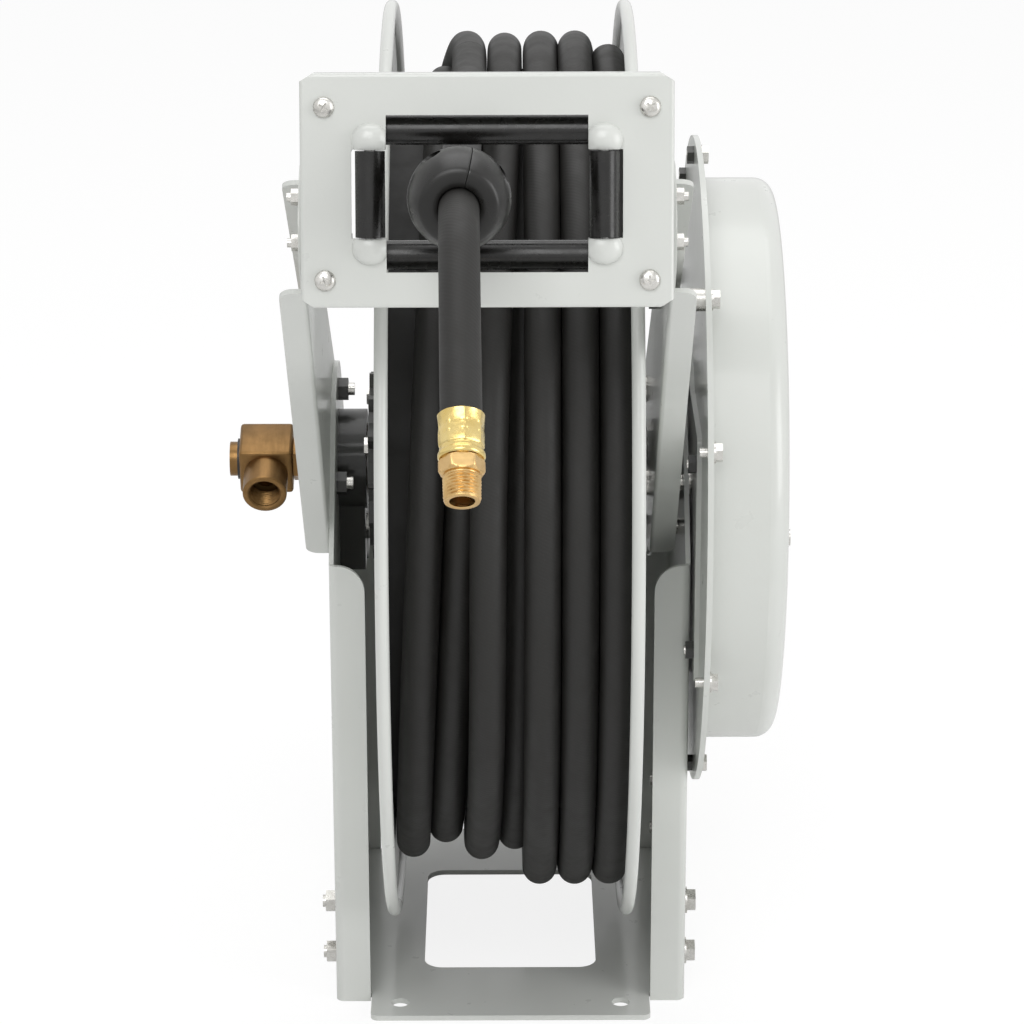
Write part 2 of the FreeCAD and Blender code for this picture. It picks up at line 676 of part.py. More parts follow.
# Bearings: a housing on each post with a bush that carries the shaft
def make_bearings():
    hole = (bolt_shank + hole_gap) / 2
    for name, bush, start, length, radius in (
        ("left_housing", "left_bush", -POST_IN, left_housing_length, left_housing_radius),
        ("right_housing", "right_bush", RIGHT_ARM_OUT, POST_IN - RIGHT_ARM_OUT, right_housing_radius),
    ):
        ring_part = rod(radius, length, (start, 0, axle_height), "X", "housing")
        bore = rod(bush_radius, 60, (start - 10, 0, axle_height), "X", "housing_bore")
        tools = [bore]
        if name == "left_housing":
            foot = block((start, -18, axle_height - housing_foot_drop),
                         (start + length - 1.5, 18, axle_height - radius + 8), "housing_foot")
            ring_part = fuse([ring_part, foot], "housing_blank")
            tools.append(rod(hole, 60, (start - 10, 0, axle_height - bolt_circle), "X", "foot_hole"))
        keep(cut(ring_part, tools, f"{name}_solid"), name)
        outer = rod(bush_radius, length, (start, 0, axle_height), "X", "bush")
        inner = rod(shaft_radius + running_gap, dim(length) + 2, (start - 1, 0, axle_height), "X", "bush_bore")
        keep(cut(outer, [inner], f"{bush}_solid"), bush)


# Spool: shaft, hubs, discs, drum, hose outlet and spring arbor
SHAFT_LEFT = POST_OUT + sheet_steel + 14
SHAFT_RIGHT = CASE_OUT - 8


def make_spool():
    solid = rod(shaft_radius, SHAFT_LEFT + SHAFT_RIGHT, (-SHAFT_LEFT, 0, axle_height), "X", "shaft_bar")
    bore = rod(shaft_bore, SHAFT_LEFT + 8, (-SHAFT_LEFT - 1, 0, axle_height), "X", "shaft_way")
    cross = rod(shaft_bore - 2, shaft_radius + 5, (0, 0, axle_height), "Z", "shaft_outlet")
    keep(cut(solid, [bore, cross], "shaft_solid"), "shaft")
    for name, start, radius in (("left_hub", -(DISC_OUT + hub_length), hub_radius),
                                ("right_hub", DISC_OUT, right_hub_radius)):
        flange = rod(radius, hub_length, (start, 0, axle_height), "X", "hub_flange")
        inner = rod(shaft_radius, hub_length + 60, (start - 30, 0, axle_height), "X", "hub_bore")
        keep(cut(flange, [inner], f"{name}_solid"), name)
    for side, name in ((-1, "left_disc"), (1, "right_disc")):
        start = -DISC_OUT if side < 0 else DISC_IN
        plate = rod(disc_radius - rim_bead, disc_sheet, (start, 0, axle_height), "X", "disc_sheet")
        bead = doc.addObject("Part::Torus", fresh("rim"))
        bind(bead, "Radius1", disc_radius - rim_bead)
        bind(bead, "Radius2", rim_bead)
        place(bead, ((DISC_IN - 0.6) * side, 0, axle_height), ALONG["X"])
        inner = rod(shaft_radius, 40, (start - 20, 0, axle_height), "X", "disc_bore")
        keep(cut(fuse([plate, bead], "disc_blank"), [inner], f"{name}_solid"), name)
    outer = rod(drum_radius, disc_gap, (-DISC_IN, 0, axle_height), "X", "drum_tube")
    inner = rod(drum_radius - drum_wall, disc_gap + 2, (-DISC_IN - 1, 0, axle_height), "X", "drum_inside")
    mouth = rod(hose_diameter / 2 + 1, 40, (0, 0, axle_height + drum_radius - 30), "Z", "drum_mouth")
    keep(cut(outer, [inner, mouth], "drum_solid"), "drum")
    outer = rod(core_radius, disc_gap - 1, (0.5 - DISC_IN, 0, axle_height), "X", "core_outside")
    inner = rod(drum_radius + face_gap, disc_gap, (-DISC_IN, 0, axle_height), "X", "core_inside")
    keep(cut(outer, [inner], "core_solid"), "hose_core")
    nipple = rod(shaft_bore + 3, drum_radius - shaft_radius - 36, (0, 0, axle_height + shaft_radius - 0.5), "Z",
                 "outlet_tube")
    collar = prism(27, 14, (0, 0, axle_height + drum_radius - 44), "Z", "outlet_hex")
    sleeve = rod(hose_diameter / 2, 28, (0, 0, axle_height + drum_radius - 30), "Z", "outlet_hose")
    inside = rod(shaft_bore - 2, 200, (0, 0, axle_height + shaft_radius - 5), "Z", "outlet_way")
    clear = rod(shaft_radius, 60, (-30, 0, axle_height), "X", "outlet_seat")
    keep(cut(fuse([nipple, collar, sleeve], "outlet_blank"), [inside, clear], "outlet_solid"), "hose_outlet")
    arbor = rod(arbor_radius, case_depth - 20, (PLATE_OUT + 8, 0, axle_height), "X", "arbor_bar")
    inner = rod(shaft_radius, 90, (PLATE_OUT - 5, 0, axle_height), "X", "arbor_bore")
    keep(cut(arbor, [inner], "arbor_solid"), "spring_arbor")


def make_ratchet():
    wheel = body("ratchet_wheel")
    start = -(DISC_OUT + hub_length + ratchet_sheet)
    teeth = sketch_on(wheel, "YZ_Plane", start)
    points = []
    step = 360 / ratchet_teeth
    for k in range(ratchet_teeth):
        tip = step * k
        for radius, angle in ((ratchet_tip, tip - 3), (ratchet_tip, tip),
                              (ratchet_tip - ratchet_depth, tip + 4), (ratchet_tip - ratchet_depth, tip + 14)):
            points.append((radius * cosine(angle), axle_height + radius * sine(angle)))
    outline(teeth, points)
    pad(wheel, teeth, ratchet_sheet)
    holes = sketch_on(wheel, "YZ_Plane", 0)
    ring(holes, 0, axle_height, shaft_radius)
    pocket(wheel, holes)
    keep(wheel, "ratchet_wheel")
    bolts = []
    for angle in (60, 150, 240, 330):
        spot = (start, hub_bolt_circle * cosine(angle), axle_height + hub_bolt_circle * sine(angle))
        bolts.append(prism(10, 2.6, spot, "-X", "ratchet_bolt"))
    group(bolts, "ratchet_bolts")


# Pawl: a pin in the left housing's foot and a latch below the ratchet wheel
PAWL_Y = dim(44)
PAWL_Z = axle_height - 66


def make_pawl():
    bracket_low = block((-POST_IN, 30, PAWL_Z - 14), (-HOUSING_END - 1.5, 58, PAWL_Z + 14), "pawl_block")
    hole = rod(5, 60, (-POST_IN - 10, PAWL_Y, PAWL_Z), "X", "pawl_hole")
    keep(cut(bracket_low, [hole], "pawl_bracket_solid"), "pawl_bracket")
    start = -(DISC_OUT + hub_length + ratchet_sheet) + 0.5
    keep(rod(5, POST_IN - DISC_OUT - hub_length - 1, (-POST_IN, PAWL_Y, PAWL_Z), "X", "pawl_pin_bar"), "pawl_pin")
    latch = body("pawl")
    profile = sketch_on(latch, "YZ_Plane", start)
    outline(profile, [
        (PAWL_Y + 9, PAWL_Z + 2), (PAWL_Y + 6, PAWL_Z - 8), (PAWL_Y - 8, PAWL_Z - 9), (8, PAWL_Z - 6),
        (0, PAWL_Z + 1), (1, PAWL_Z + 6), (8, PAWL_Z + 4.5), (PAWL_Y - 10, PAWL_Z + 6), (PAWL_Y + 3, PAWL_Z + 8),
    ])
    pad(latch, profile, ratchet_sheet - 1)
    hole = sketch_on(latch, "YZ_Plane", 0)
    ring(hole, PAWL_Y, PAWL_Z, 5 + running_gap)
    pocket(latch, hole)
    keep(latch, "pawl")


# Spring side: bracket, backing plate, spring case, its bolts and the spring
CASE_BOLT_ANGLES = (96, 48, 20, -25, -68, -115, -155, 160, 128)
CLINCHED = (48, 20, -25)
BRACKET_BOLTS = ((-1, 38), (-1, -84), (1, 38), (1, -84))


def case_spot(angle):
    """A place on the backing plate's bolt circle, by its angle up from the front."""
    return -case_bolt_circle * cosine(angle), axle_height + case_bolt_circle * sine(angle)


def drum_shell(radius, depth, corner, start, name):
    """A closed drum with a rounded outer edge, its open side at the start."""
    ring_part = doc.addObject("Part::Torus", fresh("corner"))
    bind(ring_part, "Radius1", radius - corner)
    bind(ring_part, "Radius2", corner)
    place(ring_part, (start + depth - corner, 0, axle_height), ALONG["X"])
    return fuse([
        rod(radius, depth - corner, (start, 0, axle_height), "X", "drum_side"),
        rod(radius - corner, depth, (start, 0, axle_height), "X", "drum_end"),
        ring_part,
    ], name)


def make_spring_side():
    bracket = body("spring_bracket")
    plate = sketch_on(bracket, "YZ_Plane", BRACKET_IN)
    half = case_radius - bracket_edge_inset
    rectangle(plate, -half, axle_height - 103, half, axle_height + 57)
    pad(bracket, plate, sheet_steel)
    head = sketch_on(bracket, "YZ_Plane", BRACKET_IN)
    ring(head, 0, axle_height, post_head + 4)
    pad(bracket, head, sheet_steel)
    holes = sketch_on(bracket, "YZ_Plane", 0)
    ring(holes, 0, axle_height, shaft_radius + 4)
    for sy, sz in QUARTERS:
        ring(holes, bolt_circle * sy, axle_height + bolt_circle * sz, (bolt_shank + hole_gap) / 2)
    for sy, z in BRACKET_BOLTS:
        y = (case_radius - bracket_bolt_inset) * sy
        ring(holes, y, axle_height + z, (head_bolt_shank + hole_gap) / 2)
    pocket(bracket, holes)
    fillet(bracket, bend_outer, lambda p, d: near(abs(p.y), half) and abs(d.x) > 0.9)
    keep(bracket, "spring_bracket")

    sheet_ring = rod(plate_radius, plate_sheet, (BRACKET_OUT, 0, axle_height), "X", "plate_disc")
    tools = [rod(bolt_circle + 12, 40, (BRACKET_OUT - 20, 0, axle_height), "X", "plate_bore")]
    for angle in CASE_BOLT_ANGLES:
        y, z = case_spot(angle)
        tools.append(rod((head_bolt_shank + hole_gap) / 2, 40, (BRACKET_OUT - 20, y, z), "X", "plate_hole"))
    for sy, z in BRACKET_BOLTS:
        y = (case_radius - bracket_bolt_inset) * sy
        tools.append(rod((head_bolt_shank + hole_gap) / 2, 40, (BRACKET_OUT - 20, y, axle_height + z), "X",
                         "plate_hole"))
    keep(cut(sheet_ring, tools, "plate_solid"), "backing_plate")

    flange = rod(plate_radius, case_sheet, (PLATE_OUT, 0, axle_height), "X", "case_flange")
    outer = drum_shell(case_radius, case_depth, case_corner, PLATE_OUT, "case_outside")
    inner = drum_shell(case_radius - case_sheet, case_depth + 9, case_corner, PLATE_OUT - 10 + 1 - case_sheet,
                       "case_inside")
    tools = [inner]
    for angle in CASE_BOLT_ANGLES:
        y, z = case_spot(angle)
        tools.append(rod((head_bolt_shank + hole_gap) / 2, 40, (PLATE_OUT - 20, y, z), "X", "case_hole"))
    keep(cut(fuse([flange, outer], "case_blank"), tools, "case_solid"), "spring_case")

    bolts = []
    nuts = []
    grip = plate_sheet + case_sheet + 4.6
    for angle in CASE_BOLT_ANGLES:
        y, z = case_spot(angle)
        reach = PLATE_OUT + case_sheet - right_arm_face + 7 if angle == STAY_ANGLE.number else grip
        bolts.append(hex_bolt(PLATE_OUT + case_sheet, y, z, reach, "X", head_bolt_shank, head_bolt_flats, 4))
        if angle not in CLINCHED:
            nuts.append(nut(BRACKET_OUT, y, z, "-X", head_bolt_shank, head_bolt_flats, 4.4))
    for sy, z in BRACKET_BOLTS:
        y = (case_radius - bracket_bolt_inset) * sy
        bolts.append(hex_bolt(PLATE_OUT, y, axle_height + z, plate_sheet + sheet_steel + 6, "X",
                              head_bolt_shank, head_bolt_flats, 4))
        nuts.append(nut(BRACKET_IN, y, axle_height + z, "-X", head_bolt_shank, head_bolt_flats, 5))
    group(bolts, "case_bolts")
    group(nuts, "case_nuts")
    keep(fuse([
        rod(5, 2.2, (CASE_OUT, rivet_inset - case_radius, axle_height), "X", "rivet_head"),
        rod(5, 2.2, (CASE_OUT, case_radius - rivet_inset, axle_height), "X", "rivet_head"),
    ], "case_rivets"), "case_rivets")


def make_spring_band():
    """A flat spiral spring between the arbor and the case, drawn as two close spirals."""
    turns = 9
    inner = float(arbor_radius + face_gap)
    outer = float(case_radius - case_sheet - face_gap) - 1.2
    edges = []
    for shift in (0, 1.2):
        points = []
        for i in range(turns * 12 + 1):
            angle = 2 * math.pi * i / 12
            radius = inner + (outer - inner) * i / (turns * 12) + shift
            points.append(Vector(0, radius * math.cos(angle), radius * math.sin(angle)))
        curve = Part.BSplineCurve()
        curve.interpolate(points)
        edges.append(curve.toShape())
    start = Part.LineSegment(edges[0].Vertexes[0].Point, edges[1].Vertexes[0].Point).toShape()
    end = Part.LineSegment(edges[0].Vertexes[1].Point, edges[1].Vertexes[1].Point).toShape()
    wire = Part.Wire(Part.__sortEdges__([edges[0], end, edges[1], start]))
    band = doc.addObject("Part::Feature", "spring_band_solid")
    band.Shape = Part.Face(wire).extrude(Vector(float(case_depth) - 24, 0, 0))
    place(band, (PLATE_OUT + 9, 0, axle_height))
    keep(band, "spring_band")


# Guide head, in its own leaning frame: -Y out of the face, Z up the slope
def make_head():
    lean = Rotation(Vector(1, 0, 0), -float(head_tilt))
    spot = (HEAD_X, -head_reach, axle_height + head_rise)

    def in_head(thing):
        place(thing, spot, lean)
        bind(thing, "Placement.Rotation.Angle", -head_tilt)
        return thing

    head = in_head(body("guide_head"))
    half = head_width / 2
    face = sketch_on(head, "XZ_Plane", -head_sheet)
    rectangle(face, -half, -head_bottom, half, head_top)
    pad(head, face, head_sheet)
    rims = sketch_on(head, "XZ_Plane", -22)
    rectangle(rims, -half, -head_bottom, half, head_sheet - head_bottom)
    rectangle(rims, -half, head_top - head_sheet, half, head_top)
    pad(head, rims, 22)
    cheeks = sketch_on(head, "XZ_Plane", -70)
    for side in (-1, 1):
        edges = sorted((half * side, (half - head_sheet) * side), key=float)
        rectangle(cheeks, edges[0], -head_bottom, edges[1], 26)
    pad(head, cheeks, 70)
    ends = sketch_on(head, "XZ_Plane", -22)
    for side in (-1, 1):
        edges = sorted((half * side, (half - head_sheet) * side), key=float)
        rectangle(ends, edges[0], 20, edges[1], head_top)
    pad(head, ends, 22)
    for side in (-1, 1):
        for sz in (-1, 1):
            dome = head.newObject("PartDesign::AdditiveEllipsoid", fresh("dome"))
            for prop, value in zip(("Radius1", "Radius2", "Radius3"), (dome_high, dome_wide, dome_proud)):
                bind(dome, prop, value)
            place(dome, (side_roller_offset * side, -1, (head_slot_height / 2 + 5) * sz))
            doc.recompute()
    relief = sketch_on(head, "XZ_Plane", 0)
    for side in (-1, 1):
        outline(relief, [(half * side, head_top), ((half - corner_relief * 1.6) * side, head_top),
                         (half * side, head_top - corner_relief)])
        outline(relief, [(half * side, -head_bottom), ((half - corner_relief * 1.6) * side, -head_bottom),
                         (half * side, corner_relief - head_bottom)])
    pocket(head, relief)
    window = sketch_on(head, "XZ_Plane", 0)
    w = head_window / 2
    v = head_window_height / 2
    b = head_slot_span / 2
    q = head_slot_height / 2
    outline(window, [(-w, -v), (w, -v), (w, -q), (b, -q), (b, q), (w, q), (w, v), (-w, v), (-w, q), (-b, q),
                     (-b, -q), (-w, -q)])
    for side in (-1, 1):
        for sz in (-1, 1):
            ring(window, screw_across / 2 * side, screw_along / 2 * sz, (head_bolt_shank + hole_gap) / 2)
    pocket(head, window)
    pins = sketch_on(head, "XY_Plane", 0)
    for side in (-1, 1):
        ring(pins, side_roller_offset * side, -side_roller_proud, roller_pin)
    pin_cut = head.newObject("PartDesign::Pocket", fresh("pocket"))
    pin_cut.Profile = pins
    pin_cut.Midplane = True
    bind(pin_cut, "Length", head_slot_height + 22)
    doc.recompute()
    sides = sketch_on(head, "YZ_Plane", 0)
    for upper in (-1, 1):
        ring(sides, head_bolt_back, head_bolt_half * upper - head_bolt_drop, (guide_bolt_shank + hole_gap) / 2)
    pocket(head, sides)
    fillet(head, 16, lambda p, d: near(p.y, 70) and abs(d.x) > 0.9)
    fillet(head, 2, lambda p, d: near(p.y, 0) and abs(d.y) < 0.1
           and (near(abs(p.x), half) or near(p.z, -head_bottom) or near(p.z, head_top)))
    keep(head, "guide_head")

    for side, name in ((-1, "left_roller_bracket"), (1, "right_roller_bracket")):
        bracket = in_head(body(name))
        base = sketch_on(bracket, "XZ_Plane", -(head_sheet + 2.5))
        edges = sorted((dim(73) * side, (half - head_sheet - 0.5) * side), key=float)
        rectangle(base, edges[0], -56, edges[1], 56)
        pad(bracket, base, 2.5)
        ears = sketch_on(bracket, "XZ_Plane", -26)
        edges = sorted((dim(73) * side, dim(75.5) * side), key=float)
        for sz in (-1, 1):
            rows = sorted((dim(22) * sz, dim(46) * sz), key=float)
            rectangle(ears, edges[0], rows[0], edges[1], rows[1])
        pad(bracket, ears, 26 - head_sheet)
        screws = sketch_on(bracket, "XZ_Plane", 0)
        for sz in (-1, 1):
            ring(screws, screw_across / 2 * side, screw_along / 2 * sz, (head_bolt_shank + hole_gap) / 2)
        pocket(bracket, screws)
        pins = sketch_on(bracket, "YZ_Plane", 0)
        for sz in (-1, 1):
            ring(pins, flat_roller_depth, flat_roller_offset * sz, roller_pin)
        pocket(bracket, pins)
        fillet(bracket, 6, lambda p, d: near(p.y, 26) and abs(d.x) > 0.9)
        keep(bracket, name)

    def in_lean(things, name):
        """A compound of pieces drawn in the head's frame, put in place as one node."""
        thing = doc.addObject("Part::Compound", fresh(name))
        thing.Links = things
        in_head(thing)
        return keep(thing, name)

    def roller(at, length, along, name, slack):
        start = [dim(v) for v in at]
        index = "XYZ".index(along)
        start[index] = -dim(length) / 2
        bar = rod(roller_radius, length, start, along, "roller")
        start[index] = -dim(length) / 2 - 1
        bore = rod(roller_pin + running_gap, dim(length) + 2, start, along, "roller_bore")
        in_lean([cut(bar, [bore], "roller_solid")], name)
        start[index] = -dim(length) / 2 - slack
        return rod(roller_pin, dim(length) + slack * 2, start, along, "roller_pin")

    pins = []
    for sz, name in ((1, "top_roller"), (-1, "bottom_roller")):
        pins.append(roller((0, flat_roller_depth, flat_roller_offset * sz), flat_roller_length, "X", name, 6))
    in_lean(pins, "flat_roller_pins")
    pins = []
    for side, name in ((-1, "left_roller"), (1, "right_roller")):
        pins.append(roller((side_roller_offset * side, -side_roller_proud, 0), side_roller_length, "Z", name, 11))
    in_lean(pins, "side_roller_pins")

    screws = []
    nuts = []
    for side in (-1, 1):
        for sz in (-1, 1):
            x = screw_across / 2 * side
            z = screw_along / 2 * sz
            dome = fuse([
                rod(screw_head, 2.2, (x, 0, z), "-Y", "screw_head"),
                rod(screw_head - 1.4, 3.4, (x, 0, z), "-Y", "screw_crown"),
                rod(head_bolt_shank / 2, head_sheet + 10, (x, 0, z), "Y", "screw_shank"),
            ], "screw")
            screws.append(dome)
            hexagon = prism(10, 5, (x, head_sheet + 2.5, z), "Y", "screw_nut")
            bore = rod(head_bolt_shank / 2 + face_gap / 2, 20, (x, 0, z), "Y", "screw_nut_bore")
            nuts.append(cut(hexagon, [bore], "screw_nut_solid"))
    in_lean(screws, "guide_screws")
    in_lean(nuts, "guide_nuts")

    bolts = []
    nuts = []
    for side, way, back in ((-1, "-X", "X"), (1, "X", "-X")):
        for upper in (-1, 1):
            z = head_bolt_half * upper - head_bolt_drop
            inner = (half - head_sheet) * side
            bolts.append(hex_bolt(inner, head_bolt_back, z, head_sheet + sheet_steel + 7, back,
                                  guide_bolt_shank, guide_bolt_flats, 4))
            nuts.append(nut((half + sheet_steel) * side, head_bolt_back, z, way, guide_bolt_shank,
                            guide_bolt_flats, 4.6))
    in_lean(bolts, "head_bolts")
    in_lean(nuts, "head_nuts")


# Hose: turns on the drum, the lead to the guide, the stop, the hanging end and its fitting
TURNS = (
    (0.0, -24.0, 262.1), (0.28, -62.6, 262.1), (0.5, -62.6, 245.0), (1.0, -40.0, 240.2),
    (1.25, -43.0, 236.5), (1.5, -42.0, 235.5), (2.0, -17.5, 236.0), (2.25, -20.9, 237.0),
    (2.5, -19.8, 242.0), (2.75, -13.0, 262.1), (3.0, -2.4, 262.1), (3.25, 1.5, 240.0),
    (3.5, 2.6, 240.0), (4.0, 11.0, 238.5), (4.25, 24.6, 238.5), (4.5, 18.5, 262.1),
    (5.0, 19.3, 262.1), (5.25, 40.9, 262.1), (6.0, 40.9, 262.1), (6.25, 62.8, 262.1),
    (6.75, 62.8, 262.1), (7.0, 62.8, 256.0), (7.15, 62.8, 238.5), (7.375, 62.8, 238.5),
)


def ease(table, turn):
    """Lane and radius at a turn, easing between the table's rows."""
    for (t0, x0, r0), (t1, x1, r1) in zip(table, table[1:]):
        if turn <= t1 + 1e-9:
            part = (turn - t0) / (t1 - t0)
            part = (1 - math.cos(math.pi * part)) / 2
            return x0 + (x1 - x0) * part, r0 + (r1 - r0) * part
    return table[-1][1], table[-1][2]


def turn_point(table, turn):
    """A point of the winding; turns run from the top over the back."""
    x, radius = ease(table, turn)
    angle = 2 * math.pi * turn
    return Vector(x, radius * math.sin(angle), radius * math.cos(angle))


def arc_from(start, direction, end):
    """The arc that leaves a point in a direction and ends at another point."""
    chord = end - start
    length = chord.Length
    along = chord / length
    side = direction - along * direction.dot(along)
    if side.Length < 1e-7:
        return Part.LineSegment(start, end).toShape()
    half = math.acos(max(-1.0, min(1.0, direction.dot(along)))) / 2
    middle = (start + end) / 2 + side.normalize() * (length / 2 * math.tan(half))
    return Part.Arc(start, middle, end).toShape()


def biarc(p0, t0, p1, t1):
    """Two arcs that join two points with their directions."""
    v = p1 - p0
    a = 2 * (t0.dot(t1) - 1)
    b = -2 * v.dot(t0 + t1)
    c = v.dot(v)
    if abs(a) < 1e-9:
        d = -c / b
    else:
        root = math.sqrt(b * b - 4 * a * c)
        d = max((-b + root) / (2 * a), (-b - root) / (2 * a))
    joint = (p0 + t0 * d + p1 - t1 * d) / 2
    first = arc_from(p0, t0, joint)
    return [first, arc_from(joint, first.tangentAt(first.LastParameter), p1)]


def tube(edges, radius, name, at=(0, 0, 0)):
    """A round tube along joined edges."""
    wire = Part.Wire(edges)
    first = wire.Edges[0]
    start = first.valueAt(first.FirstParameter)
    heading = first.tangentAt(first.FirstParameter)
    profile = Part.Wire([Part.makeCircle(float(radius), start, heading)])
    solid = wire.makePipeShell([profile], True, False)
    thing = doc.addObject("Part::Feature", fresh(name))
    thing.Shape = solid
    place(thing, at)
    return thing


def self_gap(points, diameter):
    """Least clearance between turns of a wound tube, on points an eighth of a turn or more apart."""
    least = 1e9
    for i, one in enumerate(points):
        for other in points[i + 60:]:
            least = min(least, (one - other).Length)
    return least - diameter


def make_wound():
    step = 0.125
    stops = [i * step for i in range(round(TURNS[-1][0] / step) + 1)]
    small = 1e-4
    points = []
    for turn in stops:
        before = turn_point(TURNS, max(turn - small, 0))
        after = turn_point(TURNS, min(turn + small, TURNS[-1][0]))
        points.append((turn_point(TURNS, turn), (after - before).normalize()))
    edges = []
    for (p0, t0), (p1, t1) in zip(points, points[1:]):
        edges += biarc(p0, t0, p1, t1)
    end = points[-1][0] + points[-1][1] * float(hose_diameter)
    edges.append(Part.LineSegment(points[-1][0], end).toShape())
    dense = [turn_point(TURNS, i / 120) for i in range(int(TURNS[-1][0] * 120))]
    print("wound hose: tube radius", float(hose_diameter) / 2, "least self-gap",
          round(self_gap(dense, float(hose_diameter)), 2))
    keep(tube(edges, hose_diameter / 2, "hose_wound_solid", (0, 0, axle_height)), "hose_wound")


def rounded_path(points, radii):
    """Straight runs joined by tangent arcs."""
    pts = [Vector(*p) for p in points]
    edges = []
    here = pts[0]
    for before, corner, after, radius in zip(pts, pts[1:], pts[2:], radii):
        a = (before - corner).normalize()
        b = (after - corner).normalize()
        half = a.getAngle(b) / 2
        reach = radius / math.tan(half)
        start = corner + a * reach
        end = corner + b * reach
        middle_way = (a + b).normalize()
        middle = corner + middle_way * (radius / math.sin(half) - radius)
        if (start - here).Length > 1e-6:
            edges.append(Part.LineSegment(here, start).toShape())
        edges.append(Part.Arc(start, middle, end).toShape())
        here = end
    edges.append(Part.LineSegment(here, pts[-1]).toShape())
    return edges


def make_hose_end():
    x = float(STOP_X)
    top = 262.1
    lean = math.radians(float(head_tilt))
    forward = float(stop_forward)
    stop_y = -float(head_reach) - forward * math.cos(lean)
    stop_z = float(head_rise) + forward * math.sin(lean)
    lane = TURNS[0][1]
    lead = [(lane, -0.1, top), (lane, -110, top), (x, stop_y + 120, stop_z), (x, stop_y, stop_z)]
    keep(tube(rounded_path(lead, (700, 500)), hose_diameter / 2, "hose_lead_solid", (0, 0, axle_height)),
         "hose_lead")
    last = (x + 2, stop_y - float(tail_forward), float(tail_end))
    before = (x + 1, stop_y - 95, stop_z - 43.1)
    tail = [(x, stop_y, stop_z), (x, stop_y - 35.1, stop_z), (x + 0.5, stop_y - 64.3, stop_z - 13), before, last]
    keep(tube(rounded_path(tail, (70, 90, 400)), hose_diameter / 2, "hose_tail_solid", (0, 0, axle_height)),
         "hose_tail")

    hole = rod(hose_diameter / 2 + 0.05, 90, (STOP_X, stop_y + 40, axle_height + stop_z), "-Y", "stop_hole")
    for side, name in ((-1, "left_stop_half"), (1, "right_stop_half")):
        lump = ball(stop_radius, (STOP_X, stop_y, axle_height + stop_z), "stop_ball")
        reach = sorted((STOP_X + 0.4 * side, STOP_X + 60 * side), key=float)
        halfspace = block((reach[0], stop_face * -1 + stop_y, axle_height + stop_z - 60),
                          (reach[1], stop_y + 60, axle_height + stop_z + 60), "stop_side")
        pockets = [hole]
        for sz in (-1, 1):
            seat = (STOP_X + 6 * side, stop_y, axle_height + stop_z + 18 * sz)
            pockets.append(rod(4.2, 40, seat, "X" if side > 0 else "-X", "stop_pocket"))
            pockets.append(rod(2.7, 40, (STOP_X - 20, stop_y, axle_height + stop_z + 18 * sz), "X", "stop_bore"))
        keep(cut(common(lump, halfspace, f"{name}_lump"), pockets, f"{name}_solid"), name)
    screws = []
    for sz in (-1, 1):
        z = axle_height + stop_z + 18 * sz
        screws.append(fuse([
            rod(2.5, 16, (STOP_X - 6, stop_y, z), "X", "stop_screw_shank"),
            rod(3.9, 4, (STOP_X + 6, stop_y, z), "X", "stop_screw_head"),
            prism(7, 3.5, (STOP_X - 6, stop_y, z), "-X", "stop_screw_nut"),
        ], "stop_screw"))
    group(screws, "stop_screws")

    way = (Vector(*last) - Vector(*before)).normalize()
    turn = Rotation(Vector(0, 0, 1), way)
    end = Vector(*last) + Vector(0, 0, float(axle_height))

    def along(distance):
        spot = end + way * distance
        return (spot.x, spot.y, spot.z)

    length = float(ferrule_length)
    hose_hole = rod(hose_diameter / 2, 30.2, along(-30.2), turn, "ferrule_bore")
    keep(cut(fuse([
        rod(ferrule_radius - 0.3, length, along(-length), turn, "ferrule_tube"),
        rod(ferrule_radius, 4, along(-length), turn, "ferrule_lip"),
        rod(ferrule_radius, 5, along(-4), turn, "ferrule_bead"),
    ], "ferrule_blank"), [hose_hole], "ferrule_solid"), "hose_ferrule")
    inside = rod(fitting_bore, 80, along(0.9), turn, "fitting_way")
    keep(cut(fuse([
        prism(fitting_hex, 8.5, along(1), turn, "fitting_hex_bar"),
        rod(thread_radius - 1, 12, along(1), turn, "fitting_neck"),
        rod(thread_radius, thread_length, along(10.5), turn, "fitting_thread"),
    ], "fitting_blank"), [inside], "fitting_solid"), "hose_fitting")
    print("hose end", along(10.5 + float(thread_length)), "way", tuple(way))


